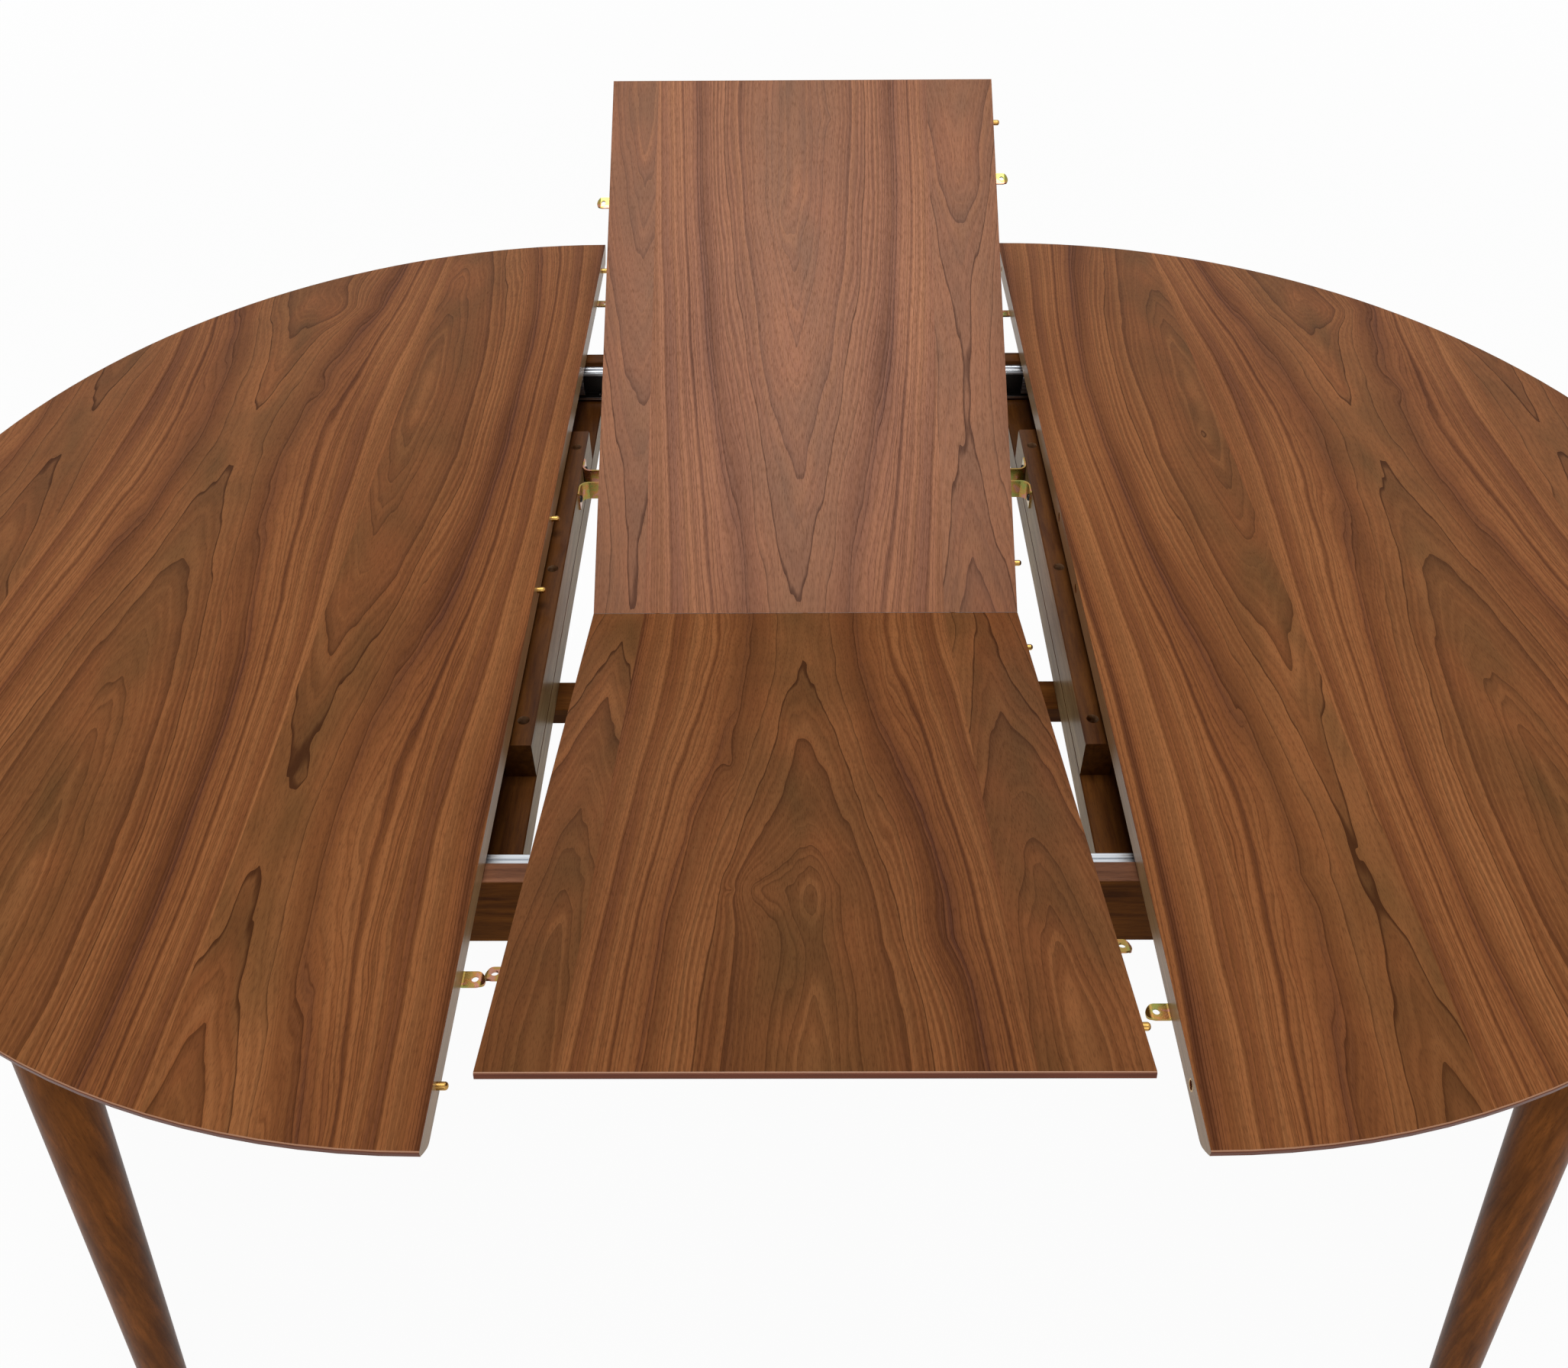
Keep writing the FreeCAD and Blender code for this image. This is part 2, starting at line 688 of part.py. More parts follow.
def hinge_link(x, layer):
    """One of the two curved links that ride side by side in the slot."""
    x0 = x + link_gap / 2.0 if layer > 0 else x - link_gap / 2.0 - link_metal
    return sector(link_inner, link_outer, -180.0 + link_end, -link_end, x0, x0 + link_metal)


# ------------------------------------------------------------------- leaf
def panel(side):
    """One leaf panel, flat, its seam edge beside the centre line."""
    section = edge_section(panel_long, seam_gap / 2.0)
    section.rotate(V(0, 0, 0), V(0, 0, 1), 90)
    section.translate(V(-leaf_width / 2.0, 0, 0))
    board_ = section.extrude(V(leaf_width, 0, 0))
    if side < 0:
        board_ = flip_y(board_)
    for x in hinge_xs:
        board_ = board_.cut(barrel_bore(x, side))
    for y in pin_ys:
        board_ = board_.cut(pin_bore(leaf_width / 2.0, side * y, -1.0))
        board_ = board_.cut(socket_bore(-leaf_width / 2.0, side * y, 1.0))
    return board_


def leaf_pins(side):
    return [domed_pin(leaf_width / 2.0, side * y, pin_z, 1.0) for y in pin_ys]


def leaf_locks(side):
    """Lock plates of one panel: the one on the left lies outside its partner
    at the front and inside it at the back, and the other way on the right."""
    step = lock_pair / 2.0
    left = lock_plate(-leaf_width / 2.0, side * lock_y - step, -1.0)
    right = lock_plate(leaf_width / 2.0, side * lock_y + step, 1.0)
    return [left, right]


def to_swing(shape):
    """Flat leaf to its stored tilt about the pivot axis."""
    shape = shape.copy()
    shape.rotate(V(0, pivot_y, pivot_z), V(1, 0, 0), swing_rest)
    return shape


def to_fold(shape, share):
    """Fold about the seam by a share of the stored fold, then swing."""
    shape = shape.copy()
    shape.rotate(V(0, 0, seam_z), V(1, 0, 0), -fold_rest * share)
    return to_swing(shape)


# ------------------------------------------------------------------ output
os.makedirs("parts", exist_ok=True)


def write(name, solids):
    flat = []
    for shape in solids:
        flat.extend(shape.Solids)
    shape = flat[0] if len(flat) == 1 else Part.makeCompound(flat)
    if not shape.isValid():
        raise RuntimeError(name + " is not a valid shape")
    shape.exportStep("parts/" + name + ".step")


def place_half(shape, side):
    """A half's piece, drawn on +X at the centre line, out on its own side."""
    shape = shape.copy()
    if side < 0:
        shape = flip_x(shape)
    shape.translate(V(side * half_out, 0, 0))
    return shape


for name, side in SIDES.items():
    write("rail_" + name, [rail(side)])
    write("cleat_" + name, [cleat(side)])
    strap = bracket()
    angle = lug()
    bolt = list(pivot_bolt())
    if side < 0:
        strap = flip_x(strap)
        angle = flip_x(angle)
        bolt = [flip_x(piece) for piece in bolt]
    write("pivot_bracket_" + name, [strap])
    write("pivot_bolt_" + name, bolt)
    write("pivot_lug_" + name, [to_swing(angle)])
for name, end in ENDS.items():
    write("board_" + name, [board(end)])
    member = outer_member()
    if end < 0:
        member = flip_y(member)
    write("slide_outer_" + name, [member])
write("cross_bar", [cross_bar()])

for name, side in SIDES.items():
    top = half_top()
    if side < 0:
        top = half_bores(top, pin_bore)
        pins = []
        for y in pin_ys:
            for end in (-1.0, 1.0):
                pins.append(domed_pin(0.0, y * end, pin_z, -1.0))
        write("pins_" + name, [place_half(pin, side) for pin in pins])
    else:
        top = half_bores(top, socket_bore)
    write("top_" + name, [place_half(top, side)])
    write("apron_" + name, [place_half(piece, side) for piece in apron()])
    step = lock_pair / 2.0 * side
    plates = [lock_plate(0.0, -lock_y - step, -1.0), lock_plate(0.0, lock_y - step, -1.0)]
    write("locks_" + name, [place_half(piece, side) for piece in plates])
    cages = []
    for end_name, end in ENDS.items():
        tag = name + "_" + end_name
        bar = runner()
        inner = inner_member()
        cage = ball_cage()
        if end < 0:
            bar = flip_y(bar)
            inner = flip_y(inner)
            cage = flip_y(cage)
        cages.append(flip_x(cage) if side < 0 else cage)
        write("runner_" + tag, [place_half(bar, side)])
        write("slide_inner_" + tag, [place_half(inner, side)])
        write("leg_block_" + tag, [place_half(leg_block(end), side)])
        write("leg_" + tag, [place_half(leg(end), side)])
        write("glide_" + tag, [place_half(glide(end), side)])
    write("ball_cages_" + name, cages)

write("leaf_panel_far", [to_swing(panel(1.0))])
write("leaf_panel_near", [to_fold(panel(-1.0), 1.0)])
write("leaf_pins_far", [to_swing(pin) for pin in leaf_pins(1.0)])
write("leaf_pins_near", [to_fold(pin, 1.0) for pin in leaf_pins(-1.0)])
write("leaf_locks_far", [to_swing(plate) for plate in leaf_locks(1.0)])
write("leaf_locks_near", [to_fold(plate, 1.0) for plate in leaf_locks(-1.0)])
write("hinge_barrels_far", [to_swing(hinge_barrel(x, 1.0)) for x in hinge_xs])
write("hinge_barrels_near", [to_fold(hinge_barrel(x, -1.0), 1.0) for x in hinge_xs])
write("hinge_links_far", [to_fold(hinge_link(x, -1.0), 1.0) for x in hinge_xs])
write("hinge_links_near", [to_fold(hinge_link(x, 1.0), 1.0) for x in hinge_xs])
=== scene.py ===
import json
import math

import bmesh
import bpy
from bpy.props import FloatProperty, FloatVectorProperty, PointerProperty
from mathutils import Matrix, Vector


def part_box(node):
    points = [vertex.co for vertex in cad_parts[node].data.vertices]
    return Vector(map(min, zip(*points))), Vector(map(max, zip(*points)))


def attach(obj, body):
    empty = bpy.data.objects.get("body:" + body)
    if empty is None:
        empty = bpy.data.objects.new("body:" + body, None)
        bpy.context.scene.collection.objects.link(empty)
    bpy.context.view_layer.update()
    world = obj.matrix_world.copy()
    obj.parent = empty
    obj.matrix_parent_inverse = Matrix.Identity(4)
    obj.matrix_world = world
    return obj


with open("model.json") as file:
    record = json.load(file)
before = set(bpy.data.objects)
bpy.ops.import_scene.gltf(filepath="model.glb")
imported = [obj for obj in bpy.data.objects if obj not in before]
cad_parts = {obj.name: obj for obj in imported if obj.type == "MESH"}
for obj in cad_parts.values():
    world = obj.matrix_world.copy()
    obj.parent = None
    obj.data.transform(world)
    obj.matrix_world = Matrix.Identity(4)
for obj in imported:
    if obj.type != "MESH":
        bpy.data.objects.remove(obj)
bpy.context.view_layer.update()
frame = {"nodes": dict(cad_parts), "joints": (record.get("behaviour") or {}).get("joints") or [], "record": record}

bl_info = {
    "name": "Butterfly Leaf Table Dresser",
    "version": (1, 0, 0),
    "blender": (4, 5, 0),
    "location": "View3D > Sidebar > Leaf Table",
    "description": "Veneer, stain, plate and screws for an extending table with a butterfly leaf",
    "category": "Object",
}

MM = 0.001
SIDES = {"left": -1.0, "right": 1.0}
ENDS = {"front": -1.0, "back": 1.0}
VECTOR = "ShaderNodeVectorMath"
NOISE = "ShaderNodeTexNoise"
RANDOM = "ShaderNodeTexWhiteNoise"
MIX = "ShaderNodeMix"
RANGE = "ShaderNodeMapRange"
SPLIT = "ShaderNodeSeparateXYZ"
BUMP = "ShaderNodeBump"
SHADER = "ShaderNodeBsdfPrincipled"
OUTPUT = "ShaderNodeOutputMaterial"
MIXED = {"data_type": "RGBA"}                                # mix of two colours
TINTED = {"data_type": "RGBA", "blend_type": "MULTIPLY"}     # colour made lighter or darker
ONE_WAY = {"noise_dimensions": "1D"}
FLAT = Matrix.Identity(4)
JOINTS = {joint["name"]: joint for joint in frame["joints"]}
COUPLED = {c["joint"]: c for c in frame["record"]["behaviour"]["couplings"]}


def linear(text):
    """sRGB hex text to linear red, green and blue."""
    parts = [int(text[i:i + 2], 16) / 255.0 for i in (1, 3, 5)]
    return tuple(c / 12.92 if c <= 0.04045 else ((c + 0.055) / 1.055) ** 2.4 for c in parts)


def opaque(rgb):
    return tuple(rgb) + (1.0,)


def paint(text):
    return opaque(linear(text))


# ------------------------------------------------------------- settings
def colour(name, text, about):
    return FloatVectorProperty(name=name, description=about, default=linear(text),
                               subtype="COLOR", min=0.0, max=1.0)


def size_mm(name, value, about):
    return FloatProperty(name=name, description=about + ", in millimetres", default=value, min=0.0)


class VeneerSettings(bpy.types.PropertyGroup):
    pale: colour("Pale wood", "#A66D42", "Early wood between the strong lines")
    mid: colour("Middle wood", "#804D2B", "The board's main brown")
    olive: colour("Olive wood", "#5A3F22", "Shaded heart of the cathedrals")
    plum: colour("Plum wood", "#553223", "Purple-brown bands in the straight grain")
    line: colour("Ring line", "#34180C", "Late wood at the end of each ring")
    rim: colour("Rim stain", "#6A3620", "Stain on the rounded edge")
    # painted highlight: a paler line along the top of the rim, where its rounded arris catches the light
    arris: colour("Arris highlight", "#B08468", "Paler line along the top of the rim")
    core: colour("Inner edge", "#B28E66", "Sealed straight edges beside the opening")
    ring: size_mm("Ring spacing", 6.0, "Distance between strong growth rings")
    # height of the band along the top arris: the painted highlight on the rim, the veneer's darker line on a
    # straight edge
    arris_band: size_mm("Arris band width", 0.65, "Height of the paler line along the arris")


class StainSettings(bpy.types.PropertyGroup):
    frame_pale: colour("Frame pale", "#6E4425", "Lighter wood of the frame under the top")
    frame_dark: colour("Frame dark", "#42230E", "Darker wood of the frame under the top")
    leg_pale: colour("Leg pale", "#925624", "Lighter wood of the turned legs")
    leg_dark: colour("Leg dark", "#5E3412", "Darker wood of the turned legs")
    board_pale: colour("Board pale", "#6C3F14", "Lighter wood of the front board")
    board_dark: colour("Board dark", "#3E1F06", "Darker wood of the front board")
    # top of the front board: a painted reflection of the overhead lamp, a paler and rosier copy of the board's
    # stain
    lit_crest_pale: colour("Crest pale", "#7F543C", "Lighter painted reflection on top of the front board")
    lit_crest_dark: colour("Crest dark", "#5A3826", "Darker painted reflection on top of the front board")
    carriage_pale: colour("Carriage pale", "#5F3815", "Lighter wood of the rest of the carriage")
    carriage_dark: colour("Carriage dark", "#3C1E09", "Darker wood of the rest of the carriage")
    # sides of rails and cleats: paler bare wood, and painted light from the white floor below, both in these
    # colours
    side_pale: colour("Side pale", "#B89C72", "Lighter tone of the sides of rails and cleats, bare wood and painted light")
    side_dark: colour("Side dark", "#947853", "Darker tone of the sides of rails and cleats, bare wood and painted light")
    bored: colour("Bored wood", "#C09A78", "Bare wood in the screw holes of the cleats")
    # painted highlight along the rounded arris of the front board
    arris_band: colour("Arris highlight", "#8A5D44", "Painted highlight on the arris of the front board")


class MetalSettings(bpy.types.PropertyGroup):
    zinc: colour("Zinc", "#C9CDD2", "Bright zinc plate of the slides")
    brass: colour("Brass", "#B88F4E", "Turned pins, ferrules and hinge barrels")
    yellow: colour("Yellow zinc", "#A08446", "Main tone of the passivated plates")
    orange: colour("Orange zinc", "#B27D45", "Orange patches of the passivated plates")
    pink: colour("Pink zinc", "#B07C66", "Pink patches of the passivated plates")
    green: colour("Green zinc", "#8B8A48", "Green patches of the passivated plates")
    black: colour("Black screws", "#26221F", "Phosphated screws")


def metres(name, value, about):
    return FloatProperty(name=name, description=about, default=value, unit="LENGTH")


def angle(name, value, about):
    return FloatProperty(name=name, description=about, default=math.radians(value), unit="ROTATION")


def amount(name, value, about):
    return FloatProperty(name=name, description=about, default=value, min=0.0)


class StageSettings(bpy.types.PropertyGroup):
    camera_x: metres("Camera X", -0.01239, "Camera place across the table")
    camera_y: metres("Camera Y", -1.04543, "Camera place along the leaf")
    camera_z: metres("Camera Z", 1.55321, "Camera height above the floor")
    pitch: angle("Pitch", 42.7039, "How far the camera looks down")
    yaw: angle("Yaw", 0.4551, "How far the camera turns to the left")
    roll: angle("Roll", 0.4724, "How far the camera leans")
    lens: size_mm("Lens", 33.147, "Focal length on a 36 mm sensor")
    softbox: amount("Softbox power", 150.0, "Power of the lamp over the table, in watts")
    fill: amount("Fill power", 55.0, "Power of the weak lamp in front of the table, in watts")
    ambient: amount("Ambient", 0.14, "Strength of the light from all round")


# ---------------------------------------------------------------- nodes
def add(tree, kind, *values, **words):
    """Add a node of a kind, or one that does the maths operation of that name.
    Words in lower case are its settings.  Values fill the inputs in use, in
    their order, and capitalised words fill an input by name.  A node given as a
    value stands for its first output in use."""
    maths = "Node" not in kind
    node = tree.nodes.new("ShaderNodeMath" if maths else kind)
    if maths:
        node.operation = kind
    for word in filter(str.islower, words):
        setattr(node, word, words[word])
    pairs = list(zip([socket for socket in node.inputs if socket.enabled], values))
    for word in words:
        if not word.islower():
            pairs.append((node.inputs[word.replace("_", " ")], words[word]))
    for socket, value in pairs:
        if isinstance(value, bpy.types.Node):
            value = next(output for output in value.outputs if output.enabled)
        if isinstance(value, bpy.types.NodeSocket):
            tree.links.new(value, socket)
        else:
            socket.default_value = value
    return node


def new_material(name):
    """Empty material, and its node tree."""
    material = bpy.data.materials.new(name)
    material.use_nodes = True
    material.node_tree.nodes.clear()
    return material, material.node_tree


def place_mm(tree, to_flat=FLAT):
    """Object coordinates in mm, turned by `to_flat` so that a board lies flat."""
    coords = add(tree, "ShaderNodeTexCoord").outputs["Object"]
    move = to_flat.to_translation() / MM
    turn = to_flat.to_euler()
    return add(tree, "ShaderNodeMapping", coords, move, turn, (1.0 / MM, 1.0 / MM, 1.0 / MM))


def cells(tree, point, size, detail, **more):
    """Noise whose cells measure `size` along X, Y and Z, in mm."""
    scaled = add(tree, VECTOR, point, [1.0 / length for length in size], operation="MULTIPLY")
    return add(tree, NOISE, scaled, Scale=1.0, Detail=detail, **more)


POINTED = 1.4        # power of the two distances: 2 rounds the tips of the figure, 1 makes them sharp


def pointed(tree, across, along):
    """Sum of two distances, each raised to the power that points the figure."""
    wide = add(tree, "ABSOLUTE", across)
    wide = add(tree, "POWER", wide, POINTED)
    tall = add(tree, "ABSOLUTE", along)
    tall = add(tree, "POWER", tall, POINTED)
    return add(tree, "ADD", wide, tall)


def eddy(tree, point, place, reach, height, cusp):
    """Hump over a place in the plane of the board, from a soft swell (cusp 1) to
    the sharp peak of a pin knot (cusp 0.5); returns its height."""
    away = add(tree, VECTOR, point, place + (0.0,), operation="SUBTRACT")
    scaled = add(tree, VECTOR, away, (1.0 / reach[0], 1.0 / reach[1], 0.0), operation="MULTIPLY")
    parts = add(tree, SPLIT, scaled).outputs
    total = pointed(tree, parts[0], parts[1])
    shaped = add(tree, "POWER", total, cusp * 2.0 / POINTED)
    minus = add(tree, "MULTIPLY", shaped, -1.0)
    bell = add(tree, "EXPONENT", minus)
    return add(tree, "MULTIPLY", bell, height)


def wander(tree, point, across, along, amount, detail=2.0):
    """Slow drift of the grain: noise with its own length across and along, in mm."""
    noise = cells(tree, point, (across, along, 1.0), detail)
    return add(tree, RANGE, noise, 0.2, 0.8, -amount, amount, clamp=False)


# ----------------------------------------------------------------- walnut
TURN = 1200.0                # mm of trunk in which the cathedrals point one way and back
HEART = (60.0, 27.0)         # mm from the face to the heart, and how far that swings over a turn
SLICE = 3.7                  # step in the noise from one leaf of the flitch to the next
STRAIGHT = (22.0, 85.0)      # mm from the middle line where the straight grain begins and is full
HELD = (55.0, 170.0, 0.35)   # mm out where the heart's depth fades, and the share of it that stays
UNEVEN = 33.333              # mm of rings over which their spacing changes
STRIPE = 2.7778              # mm of rings in a fine stripe
HAIR = 3.3333                # mm of rings from one hairline to the next
BAND = 20.0                  # mm of rings in a broad tone
PORE = (0.7, 6.0, 1.0)       # mm across and along: twice the real width of 0.3 mm, so that it shows
SHEEN = (0.05, 0.265)        # specular level of a level board, and the painted sheen of one that leans to the front
LEAN = 0.5165                # how far the normal of the far panel leans at rest


def walnut_group(veneer):
    """Crown-cut walnut: the face of a board is a flat cut beside the heart of the
    trunk, so ring distance grows from the middle line outwards and the taper of
    the trunk draws the rings into cathedrals.  All lengths are in mm."""
    tree = bpy.data.node_groups.new("crown_cut_walnut", "ShaderNodeTree")
    kinds = {"Point": "NodeSocketVector", "Color": "NodeSocketColor"}
    for way, names in (("INPUT", ("Point", "Centre", "Crest", "Leaf", "Swell", "Shade")),
                       ("OUTPUT", ("Color", "Dull", "Pores"))):
        for name in names:
            tree.interface.new_socket(name, in_out=way, socket_type=kinds.get(name, "NodeSocketFloat"))
    given = add(tree, "NodeGroupInput").outputs
    parts = add(tree, SPLIT, given["Point"]).outputs
    across = add(tree, "SUBTRACT", parts[0], given["Centre"])
    depth = add(tree, "MULTIPLY", given["Leaf"], SLICE)
    point = add(tree, "ShaderNodeCombineXYZ", across, parts[1], depth)

    # heart distance: trunk taper, a slow bow, and ragged tips near the middle
    drift = wander(tree, point, 260.0, 760.0, 10.0, 1.0)
    off = add(tree, "ADD", across, drift)
    travel = add(tree, "SUBTRACT", parts[1], given["Crest"])
    turn = add(tree, "MULTIPLY", travel, 2.0 * math.pi / TURN)
    wave = add(tree, "COSINE", turn)
    rise = add(tree, "MULTIPLY_ADD", wave, HEART[1], HEART[0])
    ragged = wander(tree, point, 21.0, 125.0, 3.4, 2.0)
    rise = add(tree, "ADD", rise, ragged)
    distance = add(tree, "ABSOLUTE", off)
    straight = add(tree, RANGE, distance, *STRAIGHT, 0.0, 1.0)
    # far from the heart the taper hardly bends the grain
    hold = add(tree, RANGE, distance, HELD[0], HELD[1], 1.0, HELD[2])
    rise = add(tree, "MULTIPLY", rise, hold)
    both = pointed(tree, off, rise)
    root = add(tree, "POWER", both, 1.0 / POINTED)
    sway = wander(tree, point, 55.0, 300.0, 1.6)
    swayed = add(tree, "ADD", root, sway)
    heart = add(tree, "ADD", swayed, given["Swell"])

    # strong rings, each with its own weight and spacing
    uneven = add(tree, NOISE, heart, Scale=1.0 / UNEVEN, Detail=2.0, **ONE_WAY)
    swing = add(tree, "MULTIPLY", uneven, 3.5)
    phase = add(tree, "MULTIPLY_ADD", heart, 1.0 / veneer.ring, swing)
    index = add(tree, "FLOOR", phase)
    share = add(tree, "FRACT", phase)
    chance = add(tree, RANDOM, index, **ONE_WAY)
    weight = add(tree, RANGE, chance, 0.2, 1.0, 0.1, 1.0)
    soft = add(tree, "POWER", share, 2.2)
    shade = add(tree, "MULTIPLY", soft, weight)
    ease = add(tree, RANGE, straight, 0.0, 1.0, 1.0, 0.6)
    shade = add(tree, "MULTIPLY", shade, ease)
    crisp = add(tree, RANGE, share, 0.8, 0.96, 0.0, 1.0, interpolation_type="SMOOTHSTEP")
    rare = add(tree, "POWER", weight, 2.5)
    line = add(tree, "MULTIPLY", crisp, rare)

    # fine stripes of the straight grain: gold and plum bands with hairlines
    fine = add(tree, NOISE, heart, Scale=1.0 / STRIPE, Detail=4.0, Roughness=0.75, **ONE_WAY)
    fine = add(tree, RANGE, fine, 0.3, 0.7, -1.0, 1.0)
    hair = add(tree, NOISE, heart, Scale=1.0 / HAIR, Detail=2.0, **ONE_WAY)
    hair = add(tree, "SUBTRACT", hair, 0.5)
    hair = add(tree, "ABSOLUTE", hair)
    hair = add(tree, RANGE, hair, 0.1, 0.03, 0.0, 0.65)
    ease = add(tree, RANGE, straight, 0.0, 1.0, 0.25, 1.0)
    hair = add(tree, "MULTIPLY", hair, ease)
    fine = add(tree, "MULTIPLY", fine, ease)

    # broad tones: bands of rings, and slow clouds of colour
    band = add(tree, NOISE, heart, Scale=1.0 / BAND, Detail=3.0, Roughness=0.65, **ONE_WAY)
    band = add(tree, RANGE, band, 0.25, 0.75, -0.85, 0.85)
    cloud = wander(tree, point, 60.0, 420.0, 0.45)
    tone = add(tree, "ADD", band, cloud)
    tone = add(tree, "MULTIPLY_ADD", fine, 0.33, tone)
    pale = add(tree, RANGE, tone, -0.15, 1.05, 0.0, 1.0)
    plum = add(tree, RANGE, tone, -0.05, -1.05, 0.0, 1.0)
    plum = add(tree, "MULTIPLY", plum, ease)
    heartwood = add(tree, RANGE, distance, 75.0, 10.0, 0.0, 0.75)
    patches = wander(tree, point, 45.0, 120.0, 0.9, 2.0)
    patches = add(tree, RANGE, patches, -0.6, 0.6, 0.0, 1.0)
    olive = add(tree, "MULTIPLY", heartwood, patches)
    body = add(tree, MIX, pale, opaque(veneer.mid), opaque(veneer.pale), **MIXED)
    body = add(tree, MIX, plum, body, opaque(veneer.plum), **MIXED)
    body = add(tree, MIX, olive, body, opaque(veneer.olive), **MIXED)
    gain = add(tree, "MULTIPLY_ADD", shade, -0.48, 1.12)
    body = add(tree, MIX, 1.0, body, gain, **TINTED)
    dark = add(tree, "MULTIPLY", line, 0.72)
    crowded = add(tree, "MULTIPLY_ADD", plum, 0.5, 0.55)
    hair = add(tree, "MULTIPLY", hair, crowded)
    dark = add(tree, "MAXIMUM", dark, hair)
    body = add(tree, MIX, dark, body, opaque(veneer.line), **MIXED)

    # open pores: short dark strokes along the grain
    pores = cells(tree, point, PORE, 2.0)
    pores = add(tree, RANGE, pores, 0.48, 0.72, 0.0, 1.0)
    pore_dark = add(tree, "MULTIPLY", pores, 0.36)
    body = add(tree, MIX, pore_dark, body, opaque(veneer.line), **MIXED)

    # curl: faint bands of sheen that lie across the grain
    curl = wander(tree, point, 80.0, 18.0, 0.04, 1.0)
    # Shade is painted light and shade: one factor that makes a whole board lighter or darker
    lift = add(tree, "ADD", curl, given["Shade"])
    body = add(tree, MIX, 1.0, body, lift, **TINTED)
    dull = add(tree, "MULTIPLY_ADD", plum, 0.5, dark, use_clamp=True)
    add(tree, "NodeGroupOutput", Color=body, Dull=dull, Pores=pores)
    return tree


def stepped(tree, x, leaves, column):
    """A value that jumps at each joint between veneer leaves."""
    total = leaves[0][column]
    for before, here in zip(leaves, leaves[1:]):
        past = add(tree, "GREATER_THAN", x, here[0])
        jump = here[column] - before[column]
        total = add(tree, "MULTIPLY_ADD", past, jump, total)
    return total


def walnut_veneer(name, group, to_flat, leaves, eddies, shade):
    """Walnut veneer, flat-sliced and laid in leaves side by side, sanded and
    sprayed with satin lacquer: the eye sees cathedrals, straight joints where
    the figure jumps from leaf to leaf, and a soft warm sheen that is stronger on a board which leans
    to the front, where the lamp overhead mirrors in it."""
    material, tree = new_material(name)
    point = place_mm(tree, to_flat)
    x = add(tree, SPLIT, point)
    swell = 0.0
    for place, reach, height, cusp in eddies:
        hump = eddy(tree, point, place, reach, height, cusp)
        swell = add(tree, "ADD", hump, swell)
    numbered = [leaf + (float(i),) for i, leaf in enumerate(leaves)]
    centre, crest, leaf = (stepped(tree, x, numbered, column) for column in (1, 2, 3))
    figure = add(tree, "ShaderNodeGroup", node_tree=group, Point=point, Centre=centre, Crest=crest,
                 Leaf=leaf, Swell=swell, Shade=shade).outputs
    grain = add(tree, BUMP, 0.25, 0.04 * MM, Height=figure["Pores"], invert=True)
    rough = add(tree, "MULTIPLY_ADD", figure["Pores"], 0.12, 0.36)
    # painted sheen: the lacquer shines more as a board leans to the front, standing in for the overhead lamp's
    # mirror image in it
    normal = add(tree, "ShaderNodeNewGeometry").outputs["True Normal"]
    lean = add(tree, SPLIT, normal).outputs["Y"]
    sheen = add(tree, RANGE, lean, 0.0, -LEAN, *SHEEN)
    # late wood is coarser and takes the lacquer with less shine
    share = add(tree, "MULTIPLY_ADD", figure["Dull"], -0.9, 1.2)
    shine = add(tree, "MULTIPLY", share, sheen)
    shader = add(tree, SHADER, Base_Color=figure["Color"], Roughness=rough, Normal=grain,
                 Specular_IOR_Level=shine, Specular_Tint=(1.0, 0.6, 0.5, 1.0))
    add(tree, OUTPUT, shader)
    return material


def board_edge(name, to_flat, stain, arris, band_height):
    """Edge of a laminated board, shaped by a cutter, stained and lacquered: fine
    lines of the sheets it is made of, 1.1 mm each, and a band of a second colour along the top arris:
    a paler painted highlight on the rim, where its rounded arris catches the light, and the darker line of the
    veneer on a straight edge.  The last argument is the band's height in mm."""
    material, tree = new_material(name)
    point = place_mm(tree, to_flat)
    sheets = cells(tree, point, (45.0, 45.0, 1.1), 3.0)
    light = add(tree, RANGE, sheets, 0.25, 0.75, 0.72, 1.24)
    tint = add(tree, MIX, 1.0, opaque(stain), light, **TINTED)
    top = CAD_BOX_TOP / MM
    height = add(tree, SPLIT, point).outputs["Z"]
    # band along the top arris: a painted highlight on the rim, the veneer's darker line on a straight edge
    arris_band = add(tree, RANGE, height, top - band_height, top - band_height * 0.6, 0.0, 0.9)
    tint = add(tree, MIX, arris_band, tint, opaque(arris), **MIXED)
    add(tree, OUTPUT, add(tree, SHADER, Base_Color=tint, Roughness=0.34, Specular_IOR_Level=0.18))
    return material


def board_side(face, to_flat, edges):
    """Which material a face of a board takes: 0 the veneer on top, 1 a sealed
    straight edge, 2 the stained rim, 3 the backing underneath."""
    way = to_flat.to_3x3() @ face.normal
    place = (to_flat @ face.center) / MM
    depth = CAD_BOX_TOP / MM - place.z
    if way.z > LEVEL and depth < SKIN:
        return 0
    if abs(way.x) > SQUARE and min(abs(place.x - edge) for edge in edges) < NEAR:
        return 1
    return 3 if way.z < -LEVEL and depth > BOARD_THICK - SKIN else 2


# ----------------------------------------------------------- other timber
GRAIN = (83.33, 6.25)        # mm along and across a streak
PORE_SHARE = 1.0 / 11.0      # a pore's size as a share of a streak's


